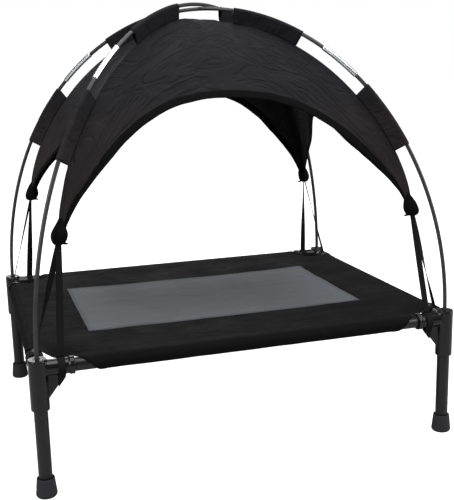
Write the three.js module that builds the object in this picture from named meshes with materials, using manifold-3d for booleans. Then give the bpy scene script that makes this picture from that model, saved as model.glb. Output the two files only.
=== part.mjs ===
// Raised dog cot with a crossed-pole sun canopy.
// Millimetres, +Z up, origin on the floor at the middle of the footprint, front of the bed at -Y.
import * as THREE from 'three';
import { mergeVertices } from 'three/addons/utils/BufferGeometryUtils.js';
import Module from 'manifold-3d';

const wasm = await Module();
wasm.setup();

// ---- Driving sizes ----

// Bed frame
const POST_SPACING_X = 730;      // between the axes of the corner posts along the long side
const POST_SPACING_Y = 580;      // and along the short side
const POST_TOP = 231;            // height of the corner posts' top faces
const POST_WALL = 2.45;          // around the leg tube's socket
const POST_HEIGHT = 82;
const STUB_WALL = 1.65;          // around a rail in the two side arms of a corner connector
const BEAD_PROUD = 2;            // the two beads of the collar at the end of a stub
const BEAD_WIDTH = 3.5;
const BEAD_GAP = 1.5;
const GUSSET_REACH = 30;         // along the stub, from the post's side
const GUSSET_DROP = 39;          // down the post, from the underside of the stub
const GUSSET_THICKNESS = 4;

// Tubes and feet
const RAIL_RADIUS = 11;
const RAIL_WALL = 1.2;
const LEG_RADIUS = 11.2;
const LEG_WALL = 1.4;
const LEG_INSERTION = 50;        // depth of the leg's socket in the post
const FOOT_WALL = 2.95;          // rubber around the leg at the foot's top
const FOOT_FLARE = 3;            // how much wider the foot is at the floor
const FOOT_HEIGHT = 32;
const FOOT_FLOOR = 8;            // rubber under the end of the leg tube
const FOOT_CHAMFER = 2;

// Canopy poles and their sockets
const POLE_RISE = 549;           // from the cap tops to the axis of the lower pole at the crossing
const POLE_CROSSING_GAP = 1;     // air between the two poles where they cross
const ROD_RADIUS = 3.5;
const ROD_BORE_RADIUS = 1.7;
const CORD_RADIUS = 0.9;         // elastic cord that runs through the rods
const CAP_LIP = 0.6;             // how far the cap stands over the post's side
const CAP_THICKNESS = 2.7;
const PLUG_WALL = 3.9;
const PLUG_LENGTH = 26;
const PLUG_FLOOR = 3;            // closed end of the plug that the pole stands on
const FERRULE_WALL = 0.8;
const FERRULE_LENGTH = 78;
const FERRULE_FROM_TOP = 294;    // middle of a ferrule, along the pole from the crossing

// Canopy cloth
const CLOTH_THICKNESS = 1.5;
const CLOTH_INSET = 23.5;        // from a pole's axis to the ridge of the cloth below it
const SLEEVE_WALL = 1.1;
const HIGH_SLEEVE = { from: 70, to: 208 };   // along the pole from the crossing
const LOW_SLEEVE = { from: 359, to: 487 };
const KNOT_INSET = 63;           // from a post axis to an arm's knot, along the diagonal
const KNOT_HEIGHT = 183;         // above the cap tops
const KNOT_RADIUS = 12;
const KNOT_LENGTH = 26;
const LONG_ARCH_DROP = 134;      // from the top of the cloth to the crown of a long side's arch
const SHORT_ARCH_DROP = 175;
const LONG_SAG = 18;             // how far the cloth between two ridges hangs inwards
const SHORT_SAG = 30;
const BINDING_WIDTH = 10;
const BINDING_THICKNESS = 2.2;
const PANEL_SHIFT = 0.25;         // moves each panel out, so that two panels part at their ridge
const BINDING_GAP = 1.2;         // between a binding and the cloth that it edges

// Straps
const STRAP_WIDTH = 12;
const STRAP_THICKNESS = 1.2;
const STRAP_FROM_POST = 23;      // from the post's side to the middle of the strap
const STRAP_ROOM = 6.5;          // between the strap and the stub's collar

// Bed cover
const COVER_THICKNESS = 1.1;
const SLEEVE_SLACK = 0.5;        // between a rail and the cover's sleeve
const LONG_SLEEVE_START = 30;    // from the end of a stub to the sleeve on a long rail
const SHORT_SLEEVE_START = 27;
const LONG_BORDER = 138;         // cover between the mesh window and a long rail's axis
const SHORT_BORDER = 102;        // and a short rail's axis

// Clearances
const SEAT_GAP = 0.3;            // between faces that meet
const TUBE_CLEARANCE = 0.35;     // around a tube in its socket
const POLE_CLEARANCE = 0.6;      // around a pole in its plug
const FERRULE_CLEARANCE = 0.4;   // around a rod in a ferrule
const POLE_SLEEVE_CLEARANCE = 0.8;

// Fineness of the faceted surfaces
const TUBE_SIDES = 16;
const ROD_SIDES = 8;
const BORE_SIDES = 6;
const ROD_STEP = 40;             // longest straight run along a bent rod
const CLOTH_COLUMNS = 12;        // across the cloth between two ridges
const CLOTH_ROWS = 7;

// ---- Derived sizes ----
const POST_RADIUS = LEG_RADIUS + TUBE_CLEARANCE + POST_WALL;
const STUB_RADIUS = RAIL_RADIUS + TUBE_CLEARANCE + STUB_WALL;
const STRAP_MIDDLE = POST_RADIUS + STRAP_FROM_POST;
const STUB_LENGTH = STRAP_MIDDLE + STRAP_WIDTH / 2 + STRAP_ROOM + 2 * BEAD_WIDTH + BEAD_GAP;
const CAP_RADIUS = POST_RADIUS + CAP_LIP;
const PLUG_RADIUS = ROD_RADIUS + POLE_CLEARANCE + PLUG_WALL;
const HALF_X = POST_SPACING_X / 2;
const HALF_Y = POST_SPACING_Y / 2;
const CORNER_RADIUS = Math.hypot(HALF_X, HALF_Y);
const RAIL_HEIGHT = POST_TOP - STUB_RADIUS;
const CAP_TOP = POST_TOP + SEAT_GAP + CAP_THICKNESS;
const PLUG_BOTTOM = POST_TOP + SEAT_GAP - PLUG_LENGTH;
const POLE_DEPTH = CAP_TOP - (PLUG_BOTTOM + PLUG_FLOOR + SEAT_GAP);
const POLE_SPREAD = 2 * ROD_RADIUS + POLE_CROSSING_GAP;
const UP = new THREE.Vector3(0, 0, 1);

// ---- Materials ----
const finish = (color, roughness, metalness = 0) =>
  new THREE.MeshStandardMaterial({ color, roughness, metalness });
const MOULDED = finish(0x0b0b0c, 0.25);
const TUBE_PAINT = finish(0x1b1b1d, 0.4, 0.3);
const RUBBER = finish(0x26282b, 0.8);
const FIBREGLASS = finish(0x1f1f20, 0.35);
const BRIGHT_METAL = finish(0xb9bcc0, 0.3, 1);
const CLOTH = finish(0x14141a, 0.8);
const TRIM = finish(0x070708, 0.85);
const OXFORD = finish(0x101012, 0.85);
const GREY_MESH = finish(0x4d5157, 0.75);
const ELASTIC = finish(0x0c0c0c, 0.9);

const bed = new THREE.Group();

function addPiece(name, geometry, material) {
  const mesh = new THREE.Mesh(geometry, material);
  mesh.name = name;
  bed.add(mesh);
  return mesh;
}

// ---- Solid helpers ----
function toSolid(geometry) {
  const bare = geometry.clone();
  bare.deleteAttribute('normal');
  bare.deleteAttribute('uv');
  const merged = mergeVertices(bare, 1e-4);
  return new wasm.Manifold(new wasm.Mesh({
    numProp: 3,
    vertProperties: new Float32Array(merged.attributes.position.array),
    triVerts: new Uint32Array(merged.index.array),
  }));
}

function toGeometry(solid) {
  const { vertProperties, triVerts } = solid.getMesh();
  const geometry = new THREE.BufferGeometry();
  geometry.setAttribute('position', new THREE.BufferAttribute(vertProperties, 3));
  geometry.setIndex(new THREE.BufferAttribute(triVerts, 1));
  return geometry;
}

const joined = (...geometries) =>
  geometries.map(toSolid).reduce((whole, solid) => whole.add(solid));
const cutFrom = (solid, ...geometries) =>
  geometries.map(toSolid).reduce((rest, solid2) => rest.subtract(solid2), solid);

// A full cylinder that stands on z = bottom.
function cylinder(radius, height, bottom, sides = TUBE_SIDES) {
  return new THREE.CylinderGeometry(radius, radius, height, sides)
    .rotateX(Math.PI / 2)
    .translate(0, 0, bottom + height / 2);
}

// A turned body from [radius, height] pairs, listed anticlockwise.
function turned(profile, sides = TUBE_SIDES) {
  const points = profile.map(([radius, height]) => new THREE.Vector2(radius, height));
  return new THREE.LatheGeometry(points, sides).rotateX(Math.PI / 2);
}

function pipe(radius, wall, bottom, top, sides = TUBE_SIDES) {
  const inner = radius - wall;
  return turned([[radius, bottom], [radius, top], [inner, top], [inner, bottom], [radius, bottom]], sides);
}

// Lays a body that stands along +Z down along +X or +Y.
const alongX = (geometry) => geometry.rotateY(Math.PI / 2);
const alongY = (geometry) => geometry.rotateX(-Math.PI / 2);

// ---- The four corners ----
const CORNERS = [
  { name: 'front_left', x: -1, y: -1 },
  { name: 'front_right', x: 1, y: -1 },
  { name: 'back_right', x: 1, y: 1 },
  { name: 'back_left', x: -1, y: 1 },
];
const cornerOf = (name) => CORNERS.find((corner) => corner.name === name);
const atCorner = (geometry, corner) => geometry.translate(corner.x * HALF_X, corner.y * HALF_Y, 0);

// ---- Corner connectors: a post with two stubs, collars and gussets ----
function connectorArm(lay, turn) {
  const bead = (end) => lay(cylinder(STUB_RADIUS + BEAD_PROUD, BEAD_WIDTH, end - BEAD_WIDTH));
  const web = new THREE.Shape([
    new THREE.Vector2(0, STUB_RADIUS / 2),
    new THREE.Vector2(0, -STUB_RADIUS - GUSSET_DROP),
    new THREE.Vector2(POST_RADIUS, -STUB_RADIUS - GUSSET_DROP),
    new THREE.Vector2(POST_RADIUS + GUSSET_REACH, -STUB_RADIUS),
    new THREE.Vector2(POST_RADIUS + GUSSET_REACH, STUB_RADIUS / 2),
  ]);
  const gusset = new THREE.ExtrudeGeometry(web, { depth: GUSSET_THICKNESS, bevelEnabled: false })
    .translate(0, 0, -GUSSET_THICKNESS / 2)
    .rotateX(Math.PI / 2);
  return [
    lay(cylinder(STUB_RADIUS, STUB_LENGTH, 0)),
    bead(STUB_LENGTH),
    bead(STUB_LENGTH - BEAD_WIDTH - BEAD_GAP),
    turn(gusset),
  ];
}

const RAIL_SOCKET_START = POST_RADIUS + 2;
function connector() {
  const postBottom = POST_TOP - RAIL_HEIGHT - POST_HEIGHT;
  const railSocket = () =>
    cylinder(RAIL_RADIUS + TUBE_CLEARANCE, STUB_LENGTH, RAIL_SOCKET_START);
  const body = joined(
    cylinder(POST_RADIUS, POST_HEIGHT, postBottom),
    ...connectorArm(alongX, (web) => web),
    ...connectorArm(alongY, (web) => web.rotateZ(Math.PI / 2)),
  );
  const hollowed = cutFrom(
    body,
    cylinder(LEG_RADIUS + TUBE_CLEARANCE, LEG_INSERTION + 1, postBottom - 1),
    cylinder(PLUG_RADIUS + TUBE_CLEARANCE, PLUG_LENGTH + 1, POST_TOP - RAIL_HEIGHT - PLUG_LENGTH),
    alongX(railSocket()),
    alongY(railSocket()),
  );
  return toGeometry(hollowed).translate(0, 0, RAIL_HEIGHT);
}

// A connector is drawn with its stubs towards +X and +Y; a quarter turn suits it to each corner.
const QUARTER_TURNS = { front_left: 0, front_right: 1, back_right: 2, back_left: 3 };
for (const corner of CORNERS) {
  const geometry = connector().rotateZ(QUARTER_TURNS[corner.name] * Math.PI / 2);
  addPiece(`connector_${corner.name}`, atCorner(geometry, corner), MOULDED);
}

// ---- Legs and rubber feet ----
const LEG_TOP = POST_TOP - POST_HEIGHT + LEG_INSERTION - SEAT_GAP;
const FOOT_SOCKET_RADIUS = LEG_RADIUS + TUBE_CLEARANCE;
const FOOT_TOP_RADIUS = FOOT_SOCKET_RADIUS + FOOT_WALL;
const FOOT_BOTTOM_RADIUS = FOOT_TOP_RADIUS + FOOT_FLARE;
for (const corner of CORNERS) {
  const leg = pipe(LEG_RADIUS, LEG_WALL, FOOT_FLOOR + SEAT_GAP, LEG_TOP);
  addPiece(`leg_tube_${corner.name}`, atCorner(leg, corner), TUBE_PAINT);
  const foot = turned([
    [0, 0],
    [FOOT_BOTTOM_RADIUS - FOOT_CHAMFER, 0],
    [FOOT_BOTTOM_RADIUS, FOOT_CHAMFER],
    [FOOT_TOP_RADIUS, FOOT_HEIGHT],
    [FOOT_SOCKET_RADIUS, FOOT_HEIGHT],
    [FOOT_SOCKET_RADIUS, FOOT_FLOOR],
    [0, FOOT_FLOOR],
  ]);
  addPiece(`foot_${corner.name}`, atCorner(foot, corner), RUBBER);
}

// ---- Rails ----
const RAIL_END = RAIL_SOCKET_START + SEAT_GAP;
const LONG_RAIL_HALF = HALF_X - RAIL_END;
const SHORT_RAIL_HALF = HALF_Y - RAIL_END;
for (const [name, side] of [['front', -1], ['back', 1]]) {
  const rail = alongX(pipe(RAIL_RADIUS, RAIL_WALL, -LONG_RAIL_HALF, LONG_RAIL_HALF));
  addPiece(`rail_${name}`, rail.translate(0, side * HALF_Y, RAIL_HEIGHT), TUBE_PAINT);
}
for (const [name, side] of [['left', -1], ['right', 1]]) {
  const rail = alongY(pipe(RAIL_RADIUS, RAIL_WALL, -SHORT_RAIL_HALF, SHORT_RAIL_HALF));
  addPiece(`rail_${name}`, rail.translate(side * HALF_X, 0, RAIL_HEIGHT), TUBE_PAINT);
}

// ---- Bed cover: one sheet with a sleeve on each rail, cut corners and a mesh window ----
const COVER_SLEEVE_INNER = RAIL_RADIUS + SLEEVE_SLACK;
const COVER_SLEEVE_OUTER = COVER_SLEEVE_INNER + COVER_THICKNESS;
const COVER_TOP = RAIL_HEIGHT + COVER_SLEEVE_OUTER;
const LONG_SLEEVE_HALF = HALF_X - STUB_LENGTH - LONG_SLEEVE_START;
const SHORT_SLEEVE_HALF = HALF_Y - STUB_LENGTH - SHORT_SLEEVE_START;

const MESH_LENGTH = POST_SPACING_X - 2 * SHORT_BORDER;
const MESH_WIDTH = POST_SPACING_Y - 2 * LONG_BORDER;

function plate(shape) {
  return new THREE.ExtrudeGeometry(shape, { depth: COVER_THICKNESS, bevelEnabled: false })
    .translate(0, 0, COVER_TOP - COVER_THICKNESS);
}

function rectangle(length, width) {
  const [x, y] = [length / 2, width / 2];
  return [[-x, -y], [x, -y], [x, y], [-x, y]].map(([px, py]) => new THREE.Vector2(px, py));
}

const coverOutline = new THREE.Shape([
  [-LONG_SLEEVE_HALF, -HALF_Y], [LONG_SLEEVE_HALF, -HALF_Y],
  [HALF_X, -SHORT_SLEEVE_HALF], [HALF_X, SHORT_SLEEVE_HALF],
  [LONG_SLEEVE_HALF, HALF_Y], [-LONG_SLEEVE_HALF, HALF_Y],
  [-HALF_X, SHORT_SLEEVE_HALF], [-HALF_X, -SHORT_SLEEVE_HALF],
].map(([x, y]) => new THREE.Vector2(x, y)));
coverOutline.holes.push(new THREE.Path(rectangle(MESH_LENGTH, MESH_WIDTH)));

const longSleeve = (side) =>
  alongX(pipe(COVER_SLEEVE_OUTER, COVER_THICKNESS, -LONG_SLEEVE_HALF, LONG_SLEEVE_HALF))
    .translate(0, side * HALF_Y, RAIL_HEIGHT);
const shortSleeve = (side) =>
  alongY(pipe(COVER_SLEEVE_OUTER, COVER_THICKNESS, -SHORT_SLEEVE_HALF, SHORT_SLEEVE_HALF))
    .translate(side * HALF_X, 0, RAIL_HEIGHT);
const cover = joined(
  plate(coverOutline), longSleeve(-1), longSleeve(1), shortSleeve(-1), shortSleeve(1),
);
addPiece('bed_cover', toGeometry(cover), OXFORD);
const meshShape = new THREE.Shape(rectangle(MESH_LENGTH - 2 * SEAT_GAP, MESH_WIDTH - 2 * SEAT_GAP));
addPiece('mesh_panel', plate(meshShape), GREY_MESH);

// ---- Pole sockets: a cap on the post with a blind plug below it ----
for (const corner of CORNERS) {
  const bore = ROD_RADIUS + POLE_CLEARANCE;
  const socket = turned([
    [0, PLUG_BOTTOM],
    [PLUG_RADIUS, PLUG_BOTTOM],
    [PLUG_RADIUS, POST_TOP + SEAT_GAP],
    [CAP_RADIUS, POST_TOP + SEAT_GAP],
    [CAP_RADIUS, CAP_TOP],
    [bore, CAP_TOP],
    [bore, PLUG_BOTTOM + PLUG_FLOOR],
    [0, PLUG_BOTTOM + PLUG_FLOOR],
  ]);
  addPiece(`pole_socket_${corner.name}`, atCorner(socket, corner), MOULDED);
}

// ---- Bent poles ----
// Half of an ellipse in the vertical plane of a diagonal, measured along its length.
class Bow {
  constructor(startCorner, rise) {
    this.outward = new THREE.Vector3(startCorner.x * HALF_X, startCorner.y * HALF_Y, 0).normalize();
    this.sideways = new THREE.Vector3().crossVectors(UP, this.outward);
    this.rise = rise;
    this.samples = [{ angle: 0, along: 0 }];
    const count = 720;
    for (let i = 1; i <= count; i += 1) {
      const angle = Math.PI * i / count;
      const step = this.atAngle(angle).distanceTo(this.atAngle(angle - Math.PI / count));
      this.samples.push({ angle, along: this.samples[i - 1].along + step });
    }
    this.length = this.samples[count].along;
    this.top = this.length / 2;
  }

  atAngle(angle) {
    return this.outward.clone().multiplyScalar(CORNER_RADIUS * Math.cos(angle))
      .addScaledVector(UP, CAP_TOP + this.rise * Math.sin(angle));
  }

  // Below the cap tops the pole runs straight down into its sockets.
  at(along) {
    if (along < 0) return this.atAngle(0).addScaledVector(UP, along);
    if (along > this.length) return this.atAngle(Math.PI).addScaledVector(UP, this.length - along);
    const next = Math.max(1, this.samples.findIndex((sample) => sample.along >= along - 1e-9));
    const [low, high] = [this.samples[next - 1], this.samples[next]];
    const share = (along - low.along) / (high.along - low.along);
    return this.atAngle(low.angle + share * (high.angle - low.angle));
  }
}

// A stretch of a bow as a three.js curve. Its section's x points out of the arch.
class BowStretch extends THREE.Curve {
  constructor(bow, from, to) {
    super();
    Object.assign(this, { bow, from, to });
  }

  getPoint(share, target = new THREE.Vector3()) {
    return target.copy(this.bow.at(this.from + share * (this.to - this.from)));
  }

  computeFrenetFrames(segments) {
    const frames = { tangents: [], normals: [], binormals: [] };
    for (let i = 0; i <= segments; i += 1) {
      const tangent = this.getTangentAt(i / segments);
      frames.tangents.push(tangent);
      frames.binormals.push(this.bow.sideways.clone());
      frames.normals.push(new THREE.Vector3().crossVectors(this.bow.sideways, tangent).normalize());
    }
    return frames;
  }
}

function circlePoints(radius, sides, turn = 0) {
  return Array.from({ length: sides }, (_, i) => {
    const angle = turn + 2 * Math.PI * i / sides;
    return new THREE.Vector2(radius * Math.cos(angle), radius * Math.sin(angle));
  });
}

function swept(shape, bow, from, to) {
  const extrudePath = new BowStretch(bow, from, to);
  const steps = Math.max(3, Math.ceil((to - from) / ROD_STEP));
  return new THREE.ExtrudeGeometry(shape, { steps, extrudePath, bevelEnabled: false });
}

function ring(outer, inner, innerSides = ROD_SIDES) {
  const shape = new THREE.Shape(circlePoints(outer, ROD_SIDES));
  shape.holes.push(new THREE.Path(circlePoints(inner, innerSides)));
  return shape;
}

// The web of a sleeve reaches from around the pole down to the ridge of the cloth.
function sleeveSection() {
  const inner = ROD_RADIUS + POLE_SLEEVE_CLEARANCE;
  const outer = inner + SLEEVE_WALL;
  const webEnd = -(CLOTH_INSET - CLOTH_THICKNESS / 2 - 2 * SEAT_GAP);
  const outline = circlePoints(outer, ROD_SIDES, Math.PI / ROD_SIDES);
  const half = ROD_SIDES / 2;
  const shape = new THREE.Shape([
    ...outline.slice(0, half - 1),
    new THREE.Vector2(-outer, SLEEVE_WALL),
    new THREE.Vector2(webEnd, SLEEVE_WALL),
    new THREE.Vector2(webEnd, -SLEEVE_WALL),
    new THREE.Vector2(-outer, -SLEEVE_WALL),
    ...outline.slice(half + 1),
  ]);
  shape.holes.push(new THREE.Path(circlePoints(inner, ROD_SIDES, Math.PI / ROD_SIDES)));
  return shape;
}

const POLES = [
  { name: 'upper', from: 'front_left', to: 'back_right', rise: POLE_RISE + POLE_SPREAD },
  { name: 'lower', from: 'back_left', to: 'front_right', rise: POLE_RISE },
];
for (const pole of POLES) {
  const bow = new Bow(cornerOf(pole.from), pole.rise);
  const rod = ring(ROD_RADIUS, ROD_BORE_RADIUS, BORE_SIDES);
  const ferruleInner = ROD_RADIUS + FERRULE_CLEARANCE;
  const ferrule = ring(ferruleInner + FERRULE_WALL, ferruleInner);
  const joint = bow.top - FERRULE_FROM_TOP;
  const otherJoint = bow.top + FERRULE_FROM_TOP;
  const bottom = -POLE_DEPTH;
  const farBottom = bow.length + POLE_DEPTH;
  const clear = SEAT_GAP;
  const name = (piece, place) => `${pole.name}_pole_${piece}_${place}`;
  addPiece(name('rod', pole.from), swept(rod, bow, bottom, joint - clear), FIBREGLASS);
  addPiece(name('rod', 'middle'), swept(rod, bow, joint + clear, otherJoint - clear), FIBREGLASS);
  addPiece(name('rod', pole.to), swept(rod, bow, otherJoint + clear, farBottom), FIBREGLASS);
  const cord = new THREE.Shape(circlePoints(CORD_RADIUS, BORE_SIDES));
  addPiece(`${pole.name}_pole_shock_cord`, swept(cord, bow, bottom + 1, farBottom - 1), ELASTIC);

  for (const [corner, middle] of [[pole.from, joint], [pole.to, otherJoint]]) {
    const half = FERRULE_LENGTH / 2;
    addPiece(`ferrule_${corner}`, swept(ferrule, bow, middle - half, middle + half), BRIGHT_METAL);
  }
  for (const [level, span] of [['high', HIGH_SLEEVE], ['low', LOW_SLEEVE]]) {
    const near = swept(sleeveSection(), bow, bow.top - span.to, bow.top - span.from);
    const far = swept(sleeveSection(), bow, bow.top + span.from, bow.top + span.to);
    addPiece(`pole_sleeve_${level}_${pole.from}`, near, CLOTH);
    addPiece(`pole_sleeve_${level}_${pole.to}`, far, CLOTH);
  }
}

// ---- Canopy cloth ----
// The four ridges follow the poles down to the low sleeves and then run straight to the knots.
const RIDGE_RADIUS = CORNER_RADIUS - CLOTH_INSET;
const RIDGE_RISE = POLE_RISE + POLE_SPREAD / 2 - CLOTH_INSET;
const CLOTH_TOP = CAP_TOP + RIDGE_RISE;
const TIP_HEIGHT = CAP_TOP + KNOT_HEIGHT + KNOT_LENGTH / 2 + 2;
const TIP_RADIUS = CORNER_RADIUS - KNOT_INSET;
const SPREAD_SPAN = 60;          // distance from the top over which the two ridges part in height
const LOWER_BOW = new Bow(cornerOf('back_left'), POLE_RISE);
const RELEASE = LOWER_BOW.at(LOWER_BOW.top - LOW_SLEEVE.to);
const RELEASE_ANGLE = Math.asin((RELEASE.z - CAP_TOP) / POLE_RISE);
const onUpperPole = (corner) => corner.x === corner.y;

// Height of a level of the cloth. Level 1 is the top, level 0 the tips of the arms.
const RELEASE_LEVEL = 0.2;
function ridgePoint(corner, level) {
  const turn = THREE.MathUtils.mapLinear(Math.max(level, RELEASE_LEVEL), RELEASE_LEVEL, 1,
    RELEASE_ANGLE, Math.PI / 2);
  let radius = RIDGE_RADIUS * Math.cos(turn);
  const parted = Math.min(1, radius / SPREAD_SPAN) * POLE_SPREAD / 2;
  const rise = RIDGE_RISE + (onUpperPole(corner) ? parted : -parted);
  let height = CAP_TOP + rise * Math.sin(turn);
  if (level < RELEASE_LEVEL) {
    const share = level / RELEASE_LEVEL;
    radius = TIP_RADIUS + share * (radius - TIP_RADIUS);
    height = TIP_HEIGHT + share * (height - TIP_HEIGHT);
  }
  const scale = radius / CORNER_RADIUS;
  return new THREE.Vector3(corner.x * HALF_X * scale, corner.y * HALF_Y * scale, height);
}

// The level at which the ridges stand at a height.
function levelAt(height) {
  let [low, high] = [0, 1];
  for (let i = 0; i < 40; i += 1) {
    const middle = (low + high) / 2;
    const ridge = ridgePoint(cornerOf('back_left'), middle);
    if (ridge.z < height) low = middle;
    else high = middle;
  }
  return low;
}

// A point of the cloth between two corners: across runs from -1 to 1.
function clothPoint(side, across, level) {
  const start = ridgePoint(side.start, level);
  const end = ridgePoint(side.end, level);
  const chord = start.clone().lerp(end, (across + 1) / 2);
  const flat = chord.clone().setZ(0);
  const middle = start.clone().add(end).multiplyScalar(0.5).setZ(0);
  const inward = middle.length() > 1 ? middle.clone().normalize().negate() : flat.set(0, 0, 0);
  const turn = THREE.MathUtils.mapLinear(level, 0, 1, 0.25, Math.PI / 2);
  const reach = start.clone().setZ(0).length() / RIDGE_RADIUS;
  const sag = side.sag * reach * (1 - across * across);
  return chord.addScaledVector(inward, sag * Math.cos(turn)).addScaledVector(UP, -sag * Math.sin(turn));
}

// Half an arch from its crown to the tip of an arm, as shares of the half width and of the height.
const archHalf = (crownReach, bendAcross, bendUp, tipAcross) => new THREE.CubicBezierCurve(
  new THREE.Vector2(0, 1),
  new THREE.Vector2(crownReach, 1),
  new THREE.Vector2(bendAcross, bendUp),
  new THREE.Vector2(tipAcross, 0),
);
const LONG_SIDE = { arch: archHalf(0.55, 0.77, 0.75, 0.9), drop: LONG_ARCH_DROP, sag: LONG_SAG };
const SHORT_SIDE = { arch: archHalf(0.25, 0.45, 0.47, 0.9), drop: SHORT_ARCH_DROP, sag: SHORT_SAG };
const SIDES = [
  { name: 'front', start: CORNERS[0], end: CORNERS[1], ...LONG_SIDE },
  { name: 'right', start: CORNERS[1], end: CORNERS[2], ...SHORT_SIDE },
  { name: 'back', start: CORNERS[2], end: CORNERS[3], ...LONG_SIDE },
  { name: 'left', start: CORNERS[3], end: CORNERS[0], ...SHORT_SIDE },
];

function archEdge(side, along) {
  const { x, y } = side.arch.getPoint(Math.min(1, Math.abs(along)));
  const height = TIP_HEIGHT + y * (CLOTH_TOP - side.drop - TIP_HEIGHT);
  return { across: Math.sign(along) * x, level: levelAt(height) };
}

// The edge's place, its direction into the cloth and the cloth's outward normal there.
function archFrame(side, along) {
  const step = 0.01;
  const point = (value) => {
    const { across, level } = archEdge(side, value);
    return clothPoint(side, across, level);
  };
  const { across, level } = archEdge(side, along);
  const here = clothPoint(side, across, level);
  const tangent = point(Math.min(1, along + step)).sub(point(Math.max(-1, along - step))).normalize();
  const upwards = clothPoint(side, across, Math.min(1, level + step)).sub(here);
  const normal = new THREE.Vector3().crossVectors(tangent, upwards).normalize();
  const inward = new THREE.Vector3().crossVectors(normal, tangent).normalize();
  return { here, inward, normal };
}

const CLOTH_HEART = new THREE.Vector3(0, 0, CAP_TOP + 60);
const HALF_COLUMNS = CLOTH_COLUMNS / 2;
function clothColumn(side, column) {
  const place = (column - HALF_COLUMNS) / HALF_COLUMNS;
  const along = Math.max(-1, Math.min(1, place * HALF_COLUMNS / (HALF_COLUMNS - 1)));
  const onRidge = Math.abs(place) === 1;
  const edge = onRidge ? { across: place, level: 0 } : archEdge(side, along);
  const frame = archFrame(side, along);
  const points = [];
  for (let row = 0; row <= CLOTH_ROWS; row += 1) {
    const share = row / CLOTH_ROWS;
    const across = place + share * (edge.across - place);
    const point = clothPoint(side, across, 1 + share * (edge.level - 1));
    const bound = onRidge ? 0 : (BINDING_WIDTH + BINDING_GAP) * share ** 2;
    const outer = point.addScaledVector(frame.inward, bound);
    const depth = CLOTH_HEART.clone().sub(outer).normalize();
    const level = onRidge ? 0 : share;
    depth.addScaledVector(frame.inward, -level * depth.dot(frame.inward)).normalize();
    points.push({ outer, inner: outer.clone().addScaledVector(depth, CLOTH_THICKNESS) });
  }
  return points;
}

// Cuts a sheet's inner face along the same diagonals as its outer face, so that the two faces
// stay apart where the sheet is twisted.
const INNER_FACE = 5;
function matchDiagonals(sheet) {
  const { start, count } = sheet.groups[INNER_FACE];
  for (let i = start; i < start + count; i += 6) {
    const [a, b, d] = [i, i + 1, i + 2].map((place) => sheet.index.getX(place));
    const c = sheet.index.getX(i + 4);
    [a, b, c, a, c, d].forEach((corner, k) => sheet.index.setX(i + k, corner));
  }
  return sheet;
}

// Two panels, sewn to each other along the ridge below the upper pole. Each spans two sides.
const PANEL_COLUMNS = 2 * CLOTH_COLUMNS;
function canopyPanel(first, second) {
  const panel = new THREE.BoxGeometry(PANEL_COLUMNS, CLOTH_ROWS, 1, PANEL_COLUMNS, CLOTH_ROWS, 1);
  const columns = Array.from({ length: PANEL_COLUMNS + 1 }, (_, i) => (
    i < CLOTH_COLUMNS ? clothColumn(first, i) : clothColumn(second, i - CLOTH_COLUMNS)));
  const seam = new THREE.Vector3(second.end.x * HALF_X, second.end.y * HALF_Y, 0).normalize();
  const outward = seam.cross(UP);
  const position = panel.attributes.position;
  const spot = new THREE.Vector3();
  for (let i = 0; i < position.count; i += 1) {
    spot.fromBufferAttribute(position, i);
    const column = columns[Math.round(spot.x + CLOTH_COLUMNS)];
    const { outer, inner } = column[Math.round(CLOTH_ROWS / 2 - spot.y)];
    const point = (spot.z > 0 ? outer : inner).clone().addScaledVector(outward, PANEL_SHIFT);
    position.setXYZ(i, point.x, point.y, point.z);
  }
  return matchDiagonals(panel);
}
const [FRONT, RIGHT, BACK, LEFT] = SIDES;
addPiece('canopy_panel_front_right', canopyPanel(FRONT, RIGHT), CLOTH);
addPiece('canopy_panel_back_left', canopyPanel(BACK, LEFT), CLOTH);

// ---- Bindings along the four arches ----
function archBinding(side) {
  const segments = 2 * (HALF_COLUMNS - 1);
  const strip = new THREE.BoxGeometry(2, BINDING_WIDTH, BINDING_THICKNESS, segments, 1, 1);
  const position = strip.attributes.position;
  const spot = new THREE.Vector3();
  for (let i = 0; i < position.count; i += 1) {
    spot.fromBufferAttribute(position, i);
    const { here, inward, normal } = archFrame(side, spot.x);
    const point = here.clone()
      .addScaledVector(inward, spot.y + BINDING_WIDTH / 2)
      .addScaledVector(normal, spot.z - CLOTH_THICKNESS / 2);
    position.setXYZ(i, point.x, point.y, point.z);
  }
  return strip;
}
for (const side of SIDES) addPiece(`arch_binding_${side.name}`, archBinding(side), TRIM);

// ---- Knots and elastic straps ----
const knotPlace = (corner) => {
  const scale = TIP_RADIUS / CORNER_RADIUS;
  return new THREE.Vector3(corner.x * HALF_X * scale, corner.y * HALF_Y * scale, CAP_TOP + KNOT_HEIGHT);
};
for (const corner of CORNERS) {
  const profile = Array.from({ length: 7 }, (_, i) => {
    const angle = Math.PI * (i / 6 - 0.5);
    return [i % 6 === 0 ? 0 : KNOT_RADIUS * Math.cos(angle), KNOT_LENGTH / 2 * Math.sin(angle)];
  });
  const place = knotPlace(corner);
  addPiece(`arm_knot_${corner.name}`, turned(profile, 12).translate(place.x, place.y, place.z), TRIM);
}

// A loop that wraps the stub and its gusset, drawn looking along the stub.
function dropOutline(radius, tipRadius, tipDrop) {
  const lean = Math.acos((radius - tipRadius) / tipDrop);
  const points = [];
  const arcSteps = 10;
  for (let i = 0; i <= arcSteps; i += 1) {
    const angle = -Math.PI / 2 + lean + (2 * Math.PI - 2 * lean) * i / arcSteps;
    points.push(new THREE.Vector2(radius * Math.cos(angle), radius * Math.sin(angle)));
  }
  for (const angle of [-Math.PI / 2 - lean, -Math.PI / 2, -Math.PI / 2 + lean]) {
    points.push(new THREE.Vector2(tipRadius * Math.cos(angle), tipRadius * Math.sin(angle) - tipDrop));
  }
  return points;
}

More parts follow.
